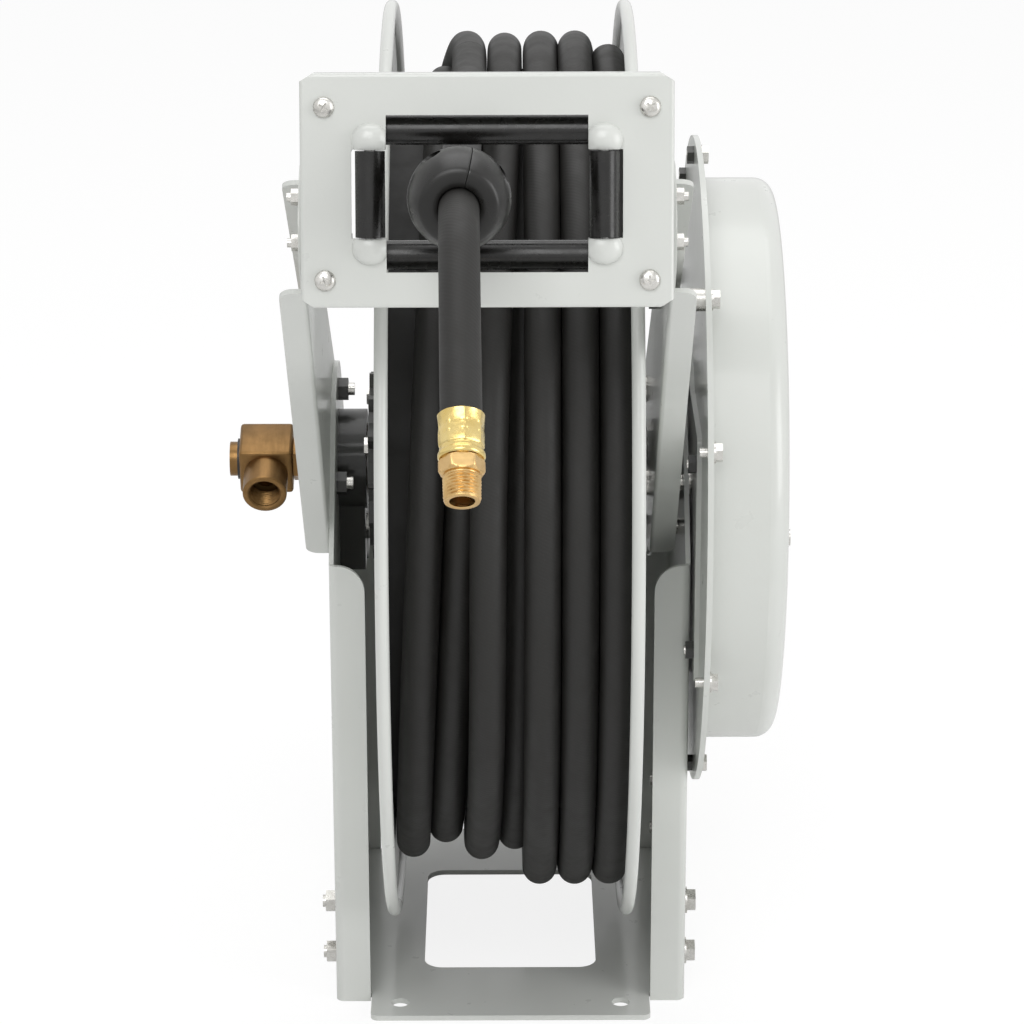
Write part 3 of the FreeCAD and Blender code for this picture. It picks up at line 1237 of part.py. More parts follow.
# Inlet: a stem in the shaft's end and the elbow that turns on it
def make_swivel():
    left = -SWIVEL_X - swivel_width / 2
    right = -SWIVEL_X + swivel_width / 2
    stem = fuse([
        prism(stem_flats, SHAFT_LEFT * -1 - right - 0.4, (right + 0.4, 0, axle_height), "X", "stem_hex"),
        rod(shaft_bore, 18, (-SHAFT_LEFT - 0.5, 0, axle_height), "X", "stem_thread"),
        rod(10, -SHAFT_LEFT - left - 0.5, (left + 0.5, 0, axle_height), "X", "stem_spindle"),
    ], "stem_blank")
    way = rod(4.5, 120, (left + 4, 0, axle_height), "X", "stem_way")
    cross = rod(4.5, 30, (-SWIVEL_X, 0, axle_height - 15), "Z", "stem_cross")
    keep(cut(stem, [way, cross], "stem_solid"), "swivel_stem")
    pitch = Rotation(Vector(1, 0, 0), 90 + float(port_tilt))
    down = -sine(port_tilt)
    out = -cosine(port_tilt)
    port = rod(port_radius, port_reach, (-SWIVEL_X, 0, axle_height), pitch, "port")
    way = rod(6, port_reach + 2, (-SWIVEL_X, 0, axle_height), pitch, "port_way")
    deep = port_reach - 16
    thread = rod(port_bore, 30, (-SWIVEL_X, out * deep, axle_height + down * deep), pitch, "port_thread")
    square = block((left, 0, 0), (right, 2 * swivel_body_half, 2 * swivel_body_half + 1), "elbow_block")
    back = swivel_body_half * (cosine(port_tilt) - sine(port_tilt))
    drop = swivel_body_half * (cosine(port_tilt) + sine(port_tilt))
    place(square, (left, -back, axle_height - drop), Rotation(Vector(1, 0, 0), float(port_tilt)))
    bind(square, "Placement.Rotation.Angle", port_tilt)
    spindle = rod(10 + running_gap, 80, (left - 20, 0, axle_height), "X", "elbow_bore")
    keep(cut(fuse([square, port], "elbow_blank"), [spindle, way, thread], "elbow_solid"), "swivel_body")
    keep(rod(13, 1.5, (left - 1.5, 0, axle_height), "X", "seal_disc"), "swivel_seal")
    keep(rod(11, 5, (left - 6.5, 0, axle_height), "X", "cap_disc"), "swivel_cap")


make_base()
make_post(-1, "left_post")
make_post(1, "right_post")
make_arm(-1, POST_OUT, "left_arm")
make_arm(1, right_arm_face, "right_arm")
make_post_bolts()
make_arm_bolts()
make_bearings()
make_spool()
make_ratchet()
make_pawl()
make_spring_side()
make_spring_band()
make_head()
make_wound()
make_hose_end()
make_swivel()

doc.recompute()
for thing in doc.Objects:
    if "Invalid" in thing.State or "Error" in thing.State:
        raise ValueError(f"{thing.Name}: {thing.State}")
os.makedirs("parts", exist_ok=True)
for name, thing in PIECES.items():
    shape = thing.Shape
    if shape.isNull() or not shape.isValid():
        raise ValueError(f"{name}: no valid shape")
    shape.exportStep(f"parts/{name}.step")
    print(name, len(shape.Solids), round(shape.Volume / 1000, 2))
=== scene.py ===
"""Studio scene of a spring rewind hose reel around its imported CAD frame, in metres."""

import json
import logging
import math
from dataclasses import dataclass, field

import bmesh
import bpy
from mathutils import Matrix, Vector


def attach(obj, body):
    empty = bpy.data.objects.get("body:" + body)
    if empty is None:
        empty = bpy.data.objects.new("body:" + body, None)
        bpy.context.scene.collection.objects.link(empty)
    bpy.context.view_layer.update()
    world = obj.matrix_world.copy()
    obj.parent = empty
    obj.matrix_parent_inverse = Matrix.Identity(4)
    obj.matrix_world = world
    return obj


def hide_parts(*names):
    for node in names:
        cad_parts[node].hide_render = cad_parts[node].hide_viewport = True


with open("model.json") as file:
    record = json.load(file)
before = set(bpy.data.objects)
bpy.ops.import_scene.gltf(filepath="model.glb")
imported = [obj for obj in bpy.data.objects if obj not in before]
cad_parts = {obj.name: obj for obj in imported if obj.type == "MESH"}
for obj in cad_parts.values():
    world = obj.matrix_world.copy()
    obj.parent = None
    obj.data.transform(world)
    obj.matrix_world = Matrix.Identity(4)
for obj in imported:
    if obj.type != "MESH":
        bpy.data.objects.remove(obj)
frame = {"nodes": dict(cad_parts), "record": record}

LOG = logging.getLogger("hose_reel")
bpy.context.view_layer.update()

MM = 0.001
AXLE = Vector((0.0, 0.0, 0.3304))
HEAD_ORIGIN = Vector((-0.012, -0.3479, 0.3304 + 0.2704))
HEAD_LEAN = math.radians(-12.0)
TAU = math.tau


def head_matrix() -> Matrix:
    """Matrix from the guide head's own frame to the row frame."""
    return Matrix.Translation(HEAD_ORIGIN) @ Matrix.Rotation(HEAD_LEAN, 4, "X")


def facing_front() -> Matrix:
    """Rotation that takes +Z onto -Y, the side that the camera sees."""
    return Matrix.Rotation(math.pi / 2, 4, Vector((1.0, 0.0, 0.0)))


# Finishes


class Nodes:
    """A short way to write one material's node tree."""

    def __init__(self, name: str) -> None:
        """Starts an empty material with an output and one shader."""
        self.material = bpy.data.materials.new(name)
        self.material.use_nodes = True
        self.tree = self.material.node_tree
        self.tree.nodes.clear()
        self.output = self.add("ShaderNodeOutputMaterial")
        self.shader = self.add("ShaderNodeBsdfPrincipled")
        self.link(self.shader.outputs[0], self.output.inputs["Surface"])

    def add(self, kind: str, **settings: object) -> bpy.types.Node:
        """Adds a node and sets its properties."""
        node = self.tree.nodes.new(kind)
        for key, value in settings.items():
            setattr(node, key, value)
        return node

    def link(self, out: bpy.types.NodeSocket, into: bpy.types.NodeSocket) -> None:
        """Joins two sockets."""
        self.tree.links.new(out, into)

    def feed(self, socket: bpy.types.NodeSocket, value: object) -> None:
        """Gives a socket a number or joins it to another socket."""
        if isinstance(value, bpy.types.NodeSocket):
            self.link(value, socket)
        else:
            socket.default_value = value

    def math(self, operation: str, a: object, b: object = 0.0) -> bpy.types.NodeSocket:
        """A Math node's result."""
        node = self.add("ShaderNodeMath", operation=operation)
        self.feed(node.inputs[0], a)
        self.feed(node.inputs[1], b)
        return node.outputs[0]

    def place(self) -> bpy.types.NodeSocket:
        """Object coordinates."""
        return self.add("ShaderNodeTexCoord").outputs["Object"]

    def stretched(self, scale: tuple[float, float, float]) -> bpy.types.NodeSocket:
        """Object coordinates stretched along the axes."""
        node = self.add("ShaderNodeMapping")
        self.link(self.place(), node.inputs["Vector"])
        node.inputs["Scale"].default_value = scale
        return node.outputs[0]

    def noise(self, scale: float, detail: float = 4.0, rough: float = 0.5,
              vector: bpy.types.NodeSocket | None = None) -> bpy.types.NodeSocket:
        """A noise pattern's value."""
        node = self.add("ShaderNodeTexNoise")
        self.link(vector or self.place(), node.inputs["Vector"])
        node.inputs["Scale"].default_value = scale
        node.inputs["Detail"].default_value = detail
        node.inputs["Roughness"].default_value = rough
        return node.outputs["Fac"]

    def spread(self, value: bpy.types.NodeSocket, low: float, high: float,
               to_low: float, to_high: float) -> bpy.types.NodeSocket:
        """Maps one range of values to another, clamped."""
        node = self.add("ShaderNodeMapRange")
        for socket, number in zip(node.inputs[1:5], (low, high, to_low, to_high)):
            socket.default_value = number
        self.link(value, node.inputs[0])
        return node.outputs[0]

    def blend(self, factor: object, one: tuple, other: tuple) -> bpy.types.NodeSocket:
        """A colour between two."""
        node = self.add("ShaderNodeMix", data_type="RGBA")
        self.feed(node.inputs[0], factor)
        node.inputs[6].default_value = (*one, 1.0)
        node.inputs[7].default_value = (*other, 1.0)
        return node.outputs[2]

    def bump(self, height: bpy.types.NodeSocket, strength: float, distance: float,
             under: bpy.types.NodeSocket | None = None) -> bpy.types.NodeSocket:
        """A bump normal, on top of another one if given."""
        node = self.add("ShaderNodeBump")
        node.inputs["Strength"].default_value = strength
        node.inputs["Distance"].default_value = distance
        self.link(height, node.inputs["Height"])
        if under is not None:
            self.link(under, node.inputs["Normal"])
        return node.outputs[0]

    def set(self, **values: object) -> None:
        """Feeds the shader's sockets, named with underscores for spaces."""
        for key, value in values.items():
            self.feed(self.shader.inputs[key.replace("_", " ")], value)


@dataclass(frozen=True)
class Finish:
    """One finish of the object's pieces; its slot is the record's."""

    name: str
    slot: str
    colour: tuple[float, float, float]
    shade: tuple[float, float, float]
    roughness: float = 0.4
    metallic: float = 0.0

    def build(self) -> bpy.types.Material:
        """The finish as a material, made once."""
        known = bpy.data.materials.get(self.name)
        if known is not None:
            return known
        nodes = Nodes(self.name)
        nodes.material.diffuse_color = (*self.colour, 1.0)
        nodes.set(Metallic=self.metallic)
        self.dress(nodes)
        return nodes.material

    def dress(self, nodes: Nodes) -> None:
        """Colour, roughness and bump of the surface."""
        raise NotImplementedError


@dataclass(frozen=True)
class PowderCoat(Finish):
    """Gloss paint over sheet steel: faint orange peel and a slight cloudiness."""

    def dress(self, nodes: Nodes) -> None:
        """Adds peel, cloud and a little rubbed sheen."""
        cloud = nodes.spread(nodes.noise(9.0, 3.0), 0.35, 0.7, 0.0, 1.0)
        nodes.set(Base_Color=nodes.blend(cloud, self.colour, self.shade))
        rub = nodes.spread(nodes.noise(60.0, 5.0, 0.6), 0.3, 0.75, self.roughness - 0.03, self.roughness + 0.05)
        nodes.set(Roughness=rub, Coat_Weight=0.35, Coat_Roughness=0.12)
        peel = nodes.bump(nodes.noise(420.0, 2.0), 0.10, 0.0004)
        nodes.set(Normal=nodes.bump(nodes.noise(26.0, 2.0), 0.06, 0.004, peel))


@dataclass(frozen=True)
class PlatedSteel(Finish):
    """Zinc plated or bare metal with fine turning marks."""

    grain: float = 900.0

    def dress(self, nodes: Nodes) -> None:
        """Adds stains and fine grain."""
        stain = nodes.spread(nodes.noise(120.0, 5.0, 0.6), 0.3, 0.7, 0.0, 1.0)
        nodes.set(Base_Color=nodes.blend(stain, self.colour, self.shade))
        nodes.set(Roughness=nodes.spread(nodes.noise(300.0, 4.0), 0.3, 0.7, self.roughness - 0.06,
                                         self.roughness + 0.1))
        nodes.set(Normal=nodes.bump(nodes.noise(self.grain, 3.0), 0.12, 0.0003))


@dataclass(frozen=True)
class TurnedBrass(Finish):
    """Machined brass with tool marks round one axis and a few darker stains."""

    stretch: tuple[float, float, float] = (1.0, 1.0, 1.0)

    def dress(self, nodes: Nodes) -> None:
        """Adds tool marks and stains."""
        stain = nodes.spread(nodes.noise(70.0, 6.0, 0.6), 0.35, 0.75, 0.0, 1.0)
        nodes.set(Base_Color=nodes.blend(stain, self.colour, self.shade))
        marks = nodes.noise(500.0, 3.0, 0.6, nodes.stretched(self.stretch))
        nodes.set(Roughness=nodes.spread(marks, 0.3, 0.7, self.roughness - 0.07, self.roughness + 0.1))
        nodes.set(Normal=nodes.bump(marks, 0.18, 0.0003))


@dataclass(frozen=True)
class WrappedRubber(Finish):
    """Hose cover cured under a wrapped tape: fine slanted ribs with paler rubbed streaks."""

    pitch: float = 0.0022
    starts: int = 14

    def dress(self, nodes: Nodes) -> None:
        """Adds the slanted ribs from the piece's own wrap attribute."""
        wrap = nodes.add("ShaderNodeAttribute", attribute_name="wrap")
        parts = nodes.add("ShaderNodeSeparateXYZ")
        nodes.link(wrap.outputs["Vector"], parts.inputs[0])
        length, cosine, sine = parts.outputs
        angle = nodes.math("ARCTAN2", sine, cosine)
        turn = nodes.math("MULTIPLY", angle, float(self.starts))
        along = nodes.math("MULTIPLY", length, TAU / self.pitch)
        rib = nodes.math("SINE", nodes.math("ADD", along, turn))
        rib = nodes.spread(rib, -1.0, 1.0, 0.0, 1.0)
        dust = nodes.spread(nodes.noise(45.0, 6.0, 0.65), 0.42, 0.8, 0.0, 1.0)
        fine = nodes.spread(nodes.noise(900.0, 3.0), 0.35, 0.8, 0.0, 0.6)
        mix = nodes.math("ADD", nodes.math("MULTIPLY", dust, 0.55), nodes.math("MULTIPLY", fine, rib))
        nodes.set(Base_Color=nodes.blend(mix, self.colour, self.shade))
        nodes.set(Roughness=nodes.spread(dust, 0.0, 1.0, self.roughness - 0.05, self.roughness + 0.12))
        ribs = nodes.bump(rib, 0.14, 0.00022)
        nodes.set(Normal=nodes.bump(nodes.noise(160.0, 4.0), 0.12, 0.0006, ribs))


@dataclass(frozen=True)
class MouldedBlack(Finish):
    """Black moulded plastic or rubber with faint scuffs."""

    scuff: float = 0.5

    def dress(self, nodes: Nodes) -> None:
        """Adds scuffs and a soft waviness."""
        dust = nodes.spread(nodes.noise(90.0, 6.0, 0.65), 0.45, 0.85, 0.0, self.scuff)
        nodes.set(Base_Color=nodes.blend(dust, self.colour, self.shade))
        nodes.set(Roughness=nodes.spread(nodes.noise(140.0, 5.0), 0.3, 0.75, self.roughness - 0.05,
                                         self.roughness + 0.12))
        nodes.set(Normal=nodes.bump(nodes.noise(320.0, 3.0), 0.07, 0.0004))


PAINT = PowderCoat("light_grey_powder_coat", "paint", (0.66, 0.675, 0.645), (0.63, 0.645, 0.615), 0.30)
ZINC = PlatedSteel("bright_zinc", "zinc", (0.72, 0.71, 0.68), (0.50, 0.49, 0.46), 0.26, 1.0)
STEEL = PlatedSteel("turned_steel", "steel", (0.42, 0.42, 0.41), (0.30, 0.30, 0.29), 0.34, 1.0)
DARK = PowderCoat("dark_satin_paint", "dark_paint", (0.045, 0.045, 0.040), (0.032, 0.032, 0.029), 0.45)
BRASS = TurnedBrass("machined_brass", "brass", (0.24, 0.135, 0.050), (0.15, 0.085, 0.030), 0.36, 0.9,
                    (1.0, 0.15, 0.15))
HOSE_BRASS = TurnedBrass("hose_end_brass", "brass", (0.72, 0.50, 0.23), (0.54, 0.34, 0.13), 0.30, 1.0,
                         (0.15, 0.15, 1.0))
CRIMP = TurnedBrass("bright_crimp_brass", "crimp_brass", (0.76, 0.61, 0.27), (0.66, 0.48, 0.16), 0.22, 1.0)
HOSE = WrappedRubber("wrapped_hose_cover", "hose_rubber", (0.006, 0.0054, 0.0044), (0.013, 0.012, 0.010), 0.60)
STOP = MouldedBlack("moulded_stop_rubber", "stop_rubber", (0.0050, 0.0047, 0.0040), (0.018, 0.017, 0.015), 0.30,
                    0.0, 0.3)
ROLLER = MouldedBlack("roller_plastic_black", "roller_plastic", (0.0045, 0.0042, 0.0036), (0.018, 0.017, 0.016), 0.24)
DARK_ZINC = PlatedSteel("dark_screw_steel", "zinc", (0.20, 0.20, 0.19), (0.12, 0.12, 0.11), 0.35, 1.0)
BRONZE = PlatedSteel("oiled_bronze", "bronze", (0.40, 0.30, 0.15), (0.28, 0.20, 0.10), 0.40, 1.0)
SEAL = MouldedBlack("seal_black", "seal_rubber", (0.012, 0.012, 0.012), (0.03, 0.03, 0.03), 0.45)
SPRING = PlatedSteel("blued_spring_steel", "spring_steel", (0.16, 0.17, 0.20), (0.10, 0.11, 0.14), 0.35, 1.0)
FINISHES = (PAINT, ZINC, STEEL, DARK, BRASS, CRIMP, HOSE, STOP, ROLLER, BRONZE, SEAL, SPRING)


# Building helpers


def to_object(mesh: bmesh.types.BMesh, name: str, finish: Finish, smooth: float = 35.0) -> bpy.types.Object:
    """Turns a bmesh into an object at the origin, with its finish.

    Args:
        mesh: the geometry in the row frame; it is freed.
        name: the piece's name.
        finish: its finish.
        smooth: edges under this angle, in degrees, shade smooth.

    Returns:
        The new object.
    """
    bmesh.ops.remove_doubles(mesh, verts=mesh.verts, dist=1e-6)
    bmesh.ops.recalc_face_normals(mesh, faces=mesh.faces)
    limit = math.radians(smooth)
    for face in mesh.faces:
        face.smooth = True
    for edge in mesh.edges:
        if len(edge.link_faces) == 2 and edge.calc_face_angle(0.0) > limit:
            edge.smooth = False
    data = bpy.data.meshes.new(name)
    mesh.to_mesh(data)
    mesh.free()
    data.materials.append(finish.build())
    thing = bpy.data.objects.new(name, data)
    bpy.context.collection.objects.link(thing)
    return thing


def turned(profile: list[tuple[float, float]], steps: int, matrix: Matrix,
           into: bmesh.types.BMesh | None = None) -> bmesh.types.BMesh:
    """Spins a profile of (radius, height) about the local Z axis.

    Args:
        profile: points from one end to the other; a radius of 0 closes the end.
        steps: faces round the axis.
        matrix: where the local frame lies.
        into: a bmesh to add to.

    Returns:
        The bmesh that holds the shape.
    """
    part = bmesh.new()
    verts = [part.verts.new((radius, 0.0, height)) for radius, height in profile]
    edges = [part.edges.new(pair) for pair in zip(verts, verts[1:])]
    bmesh.ops.spin(part, geom=verts + edges, cent=(0, 0, 0), axis=(0, 0, 1), angle=TAU, steps=steps,
                   use_merge=True)
    bmesh.ops.remove_doubles(part, verts=part.verts, dist=1e-7)
    bmesh.ops.recalc_face_normals(part, faces=part.faces)
    bmesh.ops.transform(part, matrix=matrix, verts=part.verts)
    return merge(part, into)


def merge(part: bmesh.types.BMesh, into: bmesh.types.BMesh | None) -> bmesh.types.BMesh:
    """Adds one bmesh to another and frees it."""
    if into is None:
        return part
    data = bpy.data.meshes.new("scrap")
    part.to_mesh(data)
    part.free()
    into.from_mesh(data)
    bpy.data.meshes.remove(data)
    return into


def skin(part: bmesh.types.BMesh, rings: list[list[Vector]], layer: object = None,
         tags: list[list[tuple[float, float, float]]] | None = None) -> None:
    """Wraps a grid round a row of rings and closes both ends.

    Args:
        part: an empty bmesh for the shape.
        rings: the rings' points, as many in each.
        layer: a vertex layer to fill.
        tags: that layer's values, laid out as the rings are.
    """
    around, rows = len(rings[0]), len(rings) - 1
    grid = bmesh.ops.create_grid(part, x_segments=around, y_segments=rows, size=1.0)["verts"]
    for vert in grid:
        row = round((vert.co.y + 1.0) / 2.0 * rows)
        step = round((vert.co.x + 1.0) / 2.0 * around) % around
        vert.co = rings[row][step]
        if layer is not None:
            vert[layer] = tags[row][step]
    bmesh.ops.remove_doubles(part, verts=grid, dist=1e-8)
    bmesh.ops.holes_fill(part, edges=[edge for edge in part.edges if edge.is_boundary])


def carve(thing: bpy.types.Object, tool: bmesh.types.BMesh) -> None:
    """Cuts a tool's shape out of an object."""
    data = bpy.data.meshes.new("tool")
    tool.to_mesh(data)
    tool.free()
    knife = bpy.data.objects.new("tool", data)
    bpy.context.collection.objects.link(knife)
    change = thing.modifiers.new("cut", "BOOLEAN")
    change.operation = "DIFFERENCE"
    change.solver = "EXACT"
    change.object = knife
    with bpy.context.temp_override(object=thing, active_object=thing):
        bpy.ops.object.modifier_apply(modifier=change.name)
    bpy.data.objects.remove(knife)
    bpy.data.meshes.remove(data)


# Hose

# Each row of the winding: turn, place across and radius, in turns and millimetres.
TURNS = (
    (0.0, -24.0, 262.1), (0.28, -62.6, 262.1), (0.5, -62.6, 245.0), (1.0, -40.0, 240.2),
    (1.25, -43.0, 236.5), (1.5, -42.0, 235.5), (2.0, -17.5, 236.0), (2.25, -20.9, 237.0),
    (2.5, -19.8, 242.0), (2.75, -13.0, 262.1), (3.0, -2.4, 262.1), (3.25, 1.5, 240.0),
    (3.5, 2.6, 240.0), (4.0, 11.0, 238.5), (4.25, 24.6, 238.5), (4.5, 18.5, 262.1),
    (5.0, 19.3, 262.1), (5.25, 40.9, 262.1), (6.0, 40.9, 262.1), (6.25, 62.8, 262.1),
    (6.75, 62.8, 262.1), (7.0, 62.8, 256.0), (7.15, 62.8, 238.5), (7.375, 62.8, 238.5),
)
# Where the hanging hose bends: right of, in front of and under the stop's middle.
TAIL_BENDS = ((0.0, 0.0351, 0.0), (0.0005, 0.0643, 0.013), (0.001, 0.095, 0.0431))
TAIL_ACROSS, TAIL_FORWARD, TAIL_OVER_AXLE = 0.002, 0.1451, 0.1851
LEAD_STRAIGHT, LEAD_BEND = 0.110, 0.120
THREAD_PITCH = 1.81


@dataclass
class Hose:
    """The wound turns, the stretch through the guide and the hanging end, with what is on them."""

    diameter: float = 21.4 * MM
    steps_per_turn: int = 24
    lane: float = -26.5 * MM
    start_lane: float = -24.0 * MM
    top: float = 262.1 * MM
    stop_forward: float = 40.0 * MM
    sides: int = 40
    stop: Vector = field(init=False)

    def __post_init__(self) -> None:
        """Finds the middle of the hose stop."""
        ahead = Vector((0.0, -self.stop_forward, 0.0))
        centre = head_matrix() @ ahead
        self.stop = Vector((self.lane, centre.y, centre.z))

    @staticmethod
    def ease(turn: float) -> tuple[float, float]:
        """Lane and radius at a turn, in millimetres."""
        for (t0, x0, r0), (t1, x1, r1) in zip(TURNS, TURNS[1:]):
            if turn <= t1 + 1e-9:
                part = (1 - math.cos(math.pi * (turn - t0) / (t1 - t0))) / 2
                return x0 + (x1 - x0) * part, r0 + (r1 - r0) * part
        return TURNS[-1][1], TURNS[-1][2]

    def wound_route(self) -> list[Vector]:
        """Control points of the winding; the spline runs a little inside them."""
        step = 1.0 / self.steps_per_turn
        swell = 1.0 / (0.75 + 0.25 * math.cos(TAU * step))
        count = round(TURNS[-1][0] / step)
        points = [Vector((self.start_lane, 0.0, AXLE.z + self.top))]
        for i in range(count + 1):
            turn = (i + 0.5) * step
            x, radius = self.ease(min(turn, TURNS[-1][0]))
            angle = TAU * turn
            away = Vector((0.0, math.sin(angle), math.cos(angle))) * radius * MM * swell
            points.append(Vector((x * MM, 0.0, AXLE.z)) + away)
        return points

    def lead_route(self) -> list[Vector]:
        """Control points from the top of the winding to the stop."""
        x = self.lane
        top = AXLE.z + self.top
        return [Vector((self.start_lane, 0.0, top)), Vector((self.start_lane, -LEAD_STRAIGHT, top)),
                Vector((x, self.stop.y + LEAD_BEND, self.stop.z)), self.stop.copy()]

    def tail_route(self) -> list[Vector]:
        """Control points from the stop to the hose end."""
        x, y, z = self.stop
        bends = [Vector((x + across, y - ahead, z - down)) for across, ahead, down in TAIL_BENDS]
        return [self.stop.copy(), *bends, Vector((x + TAIL_ACROSS, y - TAIL_FORWARD, AXLE.z + TAIL_OVER_AXLE))]

    def spline_points(self, route: list[Vector], name: str, resolution: int) -> list[Vector]:
        """Points read from the route's spline.

        Args:
            route: the control points.
            name: name of the working curve.
            resolution: steps between control points.

        Returns:
            The points along the spline.
        """
        curve = bpy.data.curves.new(name, "CURVE")
        curve.dimensions = "3D"
        curve.resolution_u = resolution
        spline = curve.splines.new("NURBS")
        spline.points.add(len(route) - 1)
        for point, spot in zip(spline.points, route):
            point.co = (*spot, 1.0)
        spline.order_u = 3
        spline.use_endpoint_u = True
        holder = bpy.data.objects.new(name, curve)
        bpy.context.collection.objects.link(holder)
        bpy.context.view_layer.update()
        line = bpy.data.meshes.new_from_object(holder)
        points = [vert.co.copy() for vert in line.vertices]
        bpy.data.objects.remove(holder)
        bpy.data.meshes.remove(line)
        bpy.data.curves.remove(curve)
        return points

    def tube(self, points: list[Vector], name: str) -> bpy.types.Object:
        """A tube along points with the wrap attribute that the cover's ribs follow.

        Args:
            points: the line it follows.
            name: the piece's name.

        Returns:
            The tube.
        """
        part = bmesh.new()
        ways = part.verts.layers.float_vector.new("wrap")
        rings = []
        tags = []
        length = 0.0
        heading = (points[1] - points[0]).normalized()
        side = heading.orthogonal().normalized()
        turns = [TAU * k / self.sides for k in range(self.sides)]
        for i, spot in enumerate(points):
            ahead = points[min(i + 1, len(points) - 1)] - points[max(i - 1, 0)]
            ahead.normalize()
            side = heading.rotation_difference(ahead) @ side
            side = (side - ahead * side.dot(ahead)).normalized()
            heading = ahead
            if i:
                length += (spot - points[i - 1]).length
            up = ahead.cross(side)
            rings.append([spot + (side * math.cos(turn) + up * math.sin(turn)) * (self.diameter / 2)
                          for turn in turns])
            tags.append([(length, math.cos(turn), math.sin(turn)) for turn in turns])
        skin(part, rings, ways, tags)
        return to_object(part, name, HOSE, 60.0)

    def build(self) -> None:
        wound_points = self.spline_points(self.wound_route(), "wound_line", 4)
        wound = self.tube(wound_points, "hose_wound_turns")
        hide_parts("hose_wound")
        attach(wound, "spool")
        lead_points = self.spline_points(self.lead_route(), "lead_line", 16)
        lead = self.tube(lead_points, "hose_lead_stretch")
        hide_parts("hose_lead")
        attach(lead, "frame")
        tail_points = self.spline_points(self.tail_route(), "tail_line", 24)
        tail = self.tube(tail_points, "hose_hanging_end")
        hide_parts("hose_tail")
        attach(tail, "frame")
        self.stop_halves()
        end = self.hose_end(tail_points[-1], (tail_points[-1] - tail_points[-2]).normalized())

    def hose_end(self, end: Vector, way: Vector) -> list[bpy.types.Object]:
        """The crimped ferrule and the hexagon with its tapered thread.

        Args:
            end: where the hose stops.
            way: the direction it hangs.

        Returns:
            The pieces made.
        """
        side = (Vector((1.0, 0.0, 0.0)) - way * way.x).normalized()
        seat = Matrix.Translation(end) @ Matrix((side, way.cross(side), way)).transposed().to_4x4()
        ferrule = self.ferrule(seat)
        fitting = self.fitting(seat)
        for piece, node in ((ferrule, "hose_ferrule"), (fitting, "hose_fitting")):
            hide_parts(node)
            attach(piece, "frame")
        return [ferrule, fitting]

    @staticmethod
    def ring(radii: list[float], height: float) -> list[Vector]:
        """A ring's points from its radii, in millimetres, counted from the front toward the right."""
        count = len(radii)
        return [Vector((math.sin(TAU * k / count) * radius, math.cos(TAU * k / count) * radius, height)) * MM
                for k, radius in enumerate(radii)]

    def ferrule(self, seat: Matrix) -> bpy.types.Object:
        """The crimped ferrule: eight pressed facets, a flared rim and a bead at the foot."""
        around = 160
        corner, foot = 10.0, 1.0

        def base(height: float) -> float:
            """Mean radius at a height over the foot."""
            bead = 0.85 * math.exp(-((height - 1.9) / 1.75) ** 4)
            groove = 0.3 * math.exp(-((height - 6.3) / 0.45) ** 2)
            barrel = 0.35 * math.exp(-((height - 11.5) / 4.6) ** 4)
            flare = 0.9 * max(0.0, (height - 16.0) / 8.0) ** 1.5
            return 11.2 + bead - groove + barrel + flare

        def facet(height: float) -> float:
            """How far the facets are pressed at a height."""
            if height < 6.3:
                return 0.0
            return 0.62 if height < 19.0 else 0.62 - 0.4 * (height - 19.0) / 5.0

        rings = []
        rows = 120
        for i in range(rows + 1):
            height = 24.0 * i / rows
            radii = []
            for k in range(around):
                off = (360.0 * k / around - corner) % 45.0 - 22.5
                flat = 1.0 / math.cos(math.radians(off)) - 1.035
                near = 22.5 - abs(off)
                dent = sum(math.exp(-((height - row) / 0.8) ** 2) for row in (12.4, 17.2))
                dent *= 0.3 * math.exp(-((near - 6.5) / 2.6) ** 2)
                radii.append(base(height) * (1.0 + facet(height) * flat) - dent)
            rings.append(self.ring(radii, foot - height))
        for height, radius in ((24.25, 11.8), (24.15, 11.3), (23.2, 10.9), (20.0, 10.75), (0.6, 10.75)):
            rings.append(self.ring([radius] * around, foot - height))
        rings.insert(0, self.ring([10.9] * around, foot))
        part = bmesh.new()
        skin(part, rings)
        bmesh.ops.transform(part, matrix=seat, verts=part.verts)
        return to_object(part, "crimped_ferrule", CRIMP, 50.0)

    def fitting(self, seat: Matrix) -> bpy.types.Object:
        """The hexagon, its tapered pipe thread and the bore."""
        around = 120
        flats, corner = 20.6, 33.7
        first, last = 10.2, 23.6

        def hexed(limit: float) -> list[float]:
            """A hexagon's radii, turned down to a limit."""
            radii = []
            for k in range(around):
                off = (360.0 * k / around - corner) % 60.0 - 30.0
                radii.append(min(flats / 2 / math.cos(math.radians(off)), limit))
            return radii

        rings = [self.ring(hexed(limit), height) for height, limit in (
            (1.0, 8.5), (1.0, 10.3), (1.3, 10.9), (1.8, 11.5), (2.2, 12.0), (7.4, 12.0), (8.1, 11.4), (8.9, 10.7),
            (9.5, 10.1), (9.7, 9.2))]
        rows = 76
        for i in range(rows + 1):
            height = first + (last - first) * i / rows
            fade = min(1.0, i / 8.0, (rows - i) / 6.0)
            crest = 9.85 - 0.3 * i / rows
            radii = []
            for k in range(around):
                phase = (height / THREAD_PITCH + k / around) % 1.0
                radii.append(crest - 1.0 * fade * abs(phase - 0.5) * 2.0 - 0.5 * (1.0 - fade))
            rings.append(self.ring(radii, height))
        for height, radius in ((23.9, 8.9), (24.0, 8.5), (24.0, 6.8), (23.7, 6.45), (8.0, 6.45)):
            rings.append(self.ring([radius] * around, height))
        part = bmesh.new()
        skin(part, rings)
        bmesh.ops.transform(part, matrix=seat, verts=part.verts)
        return to_object(part, "threaded_hose_end", HOSE_BRASS, 28.0)

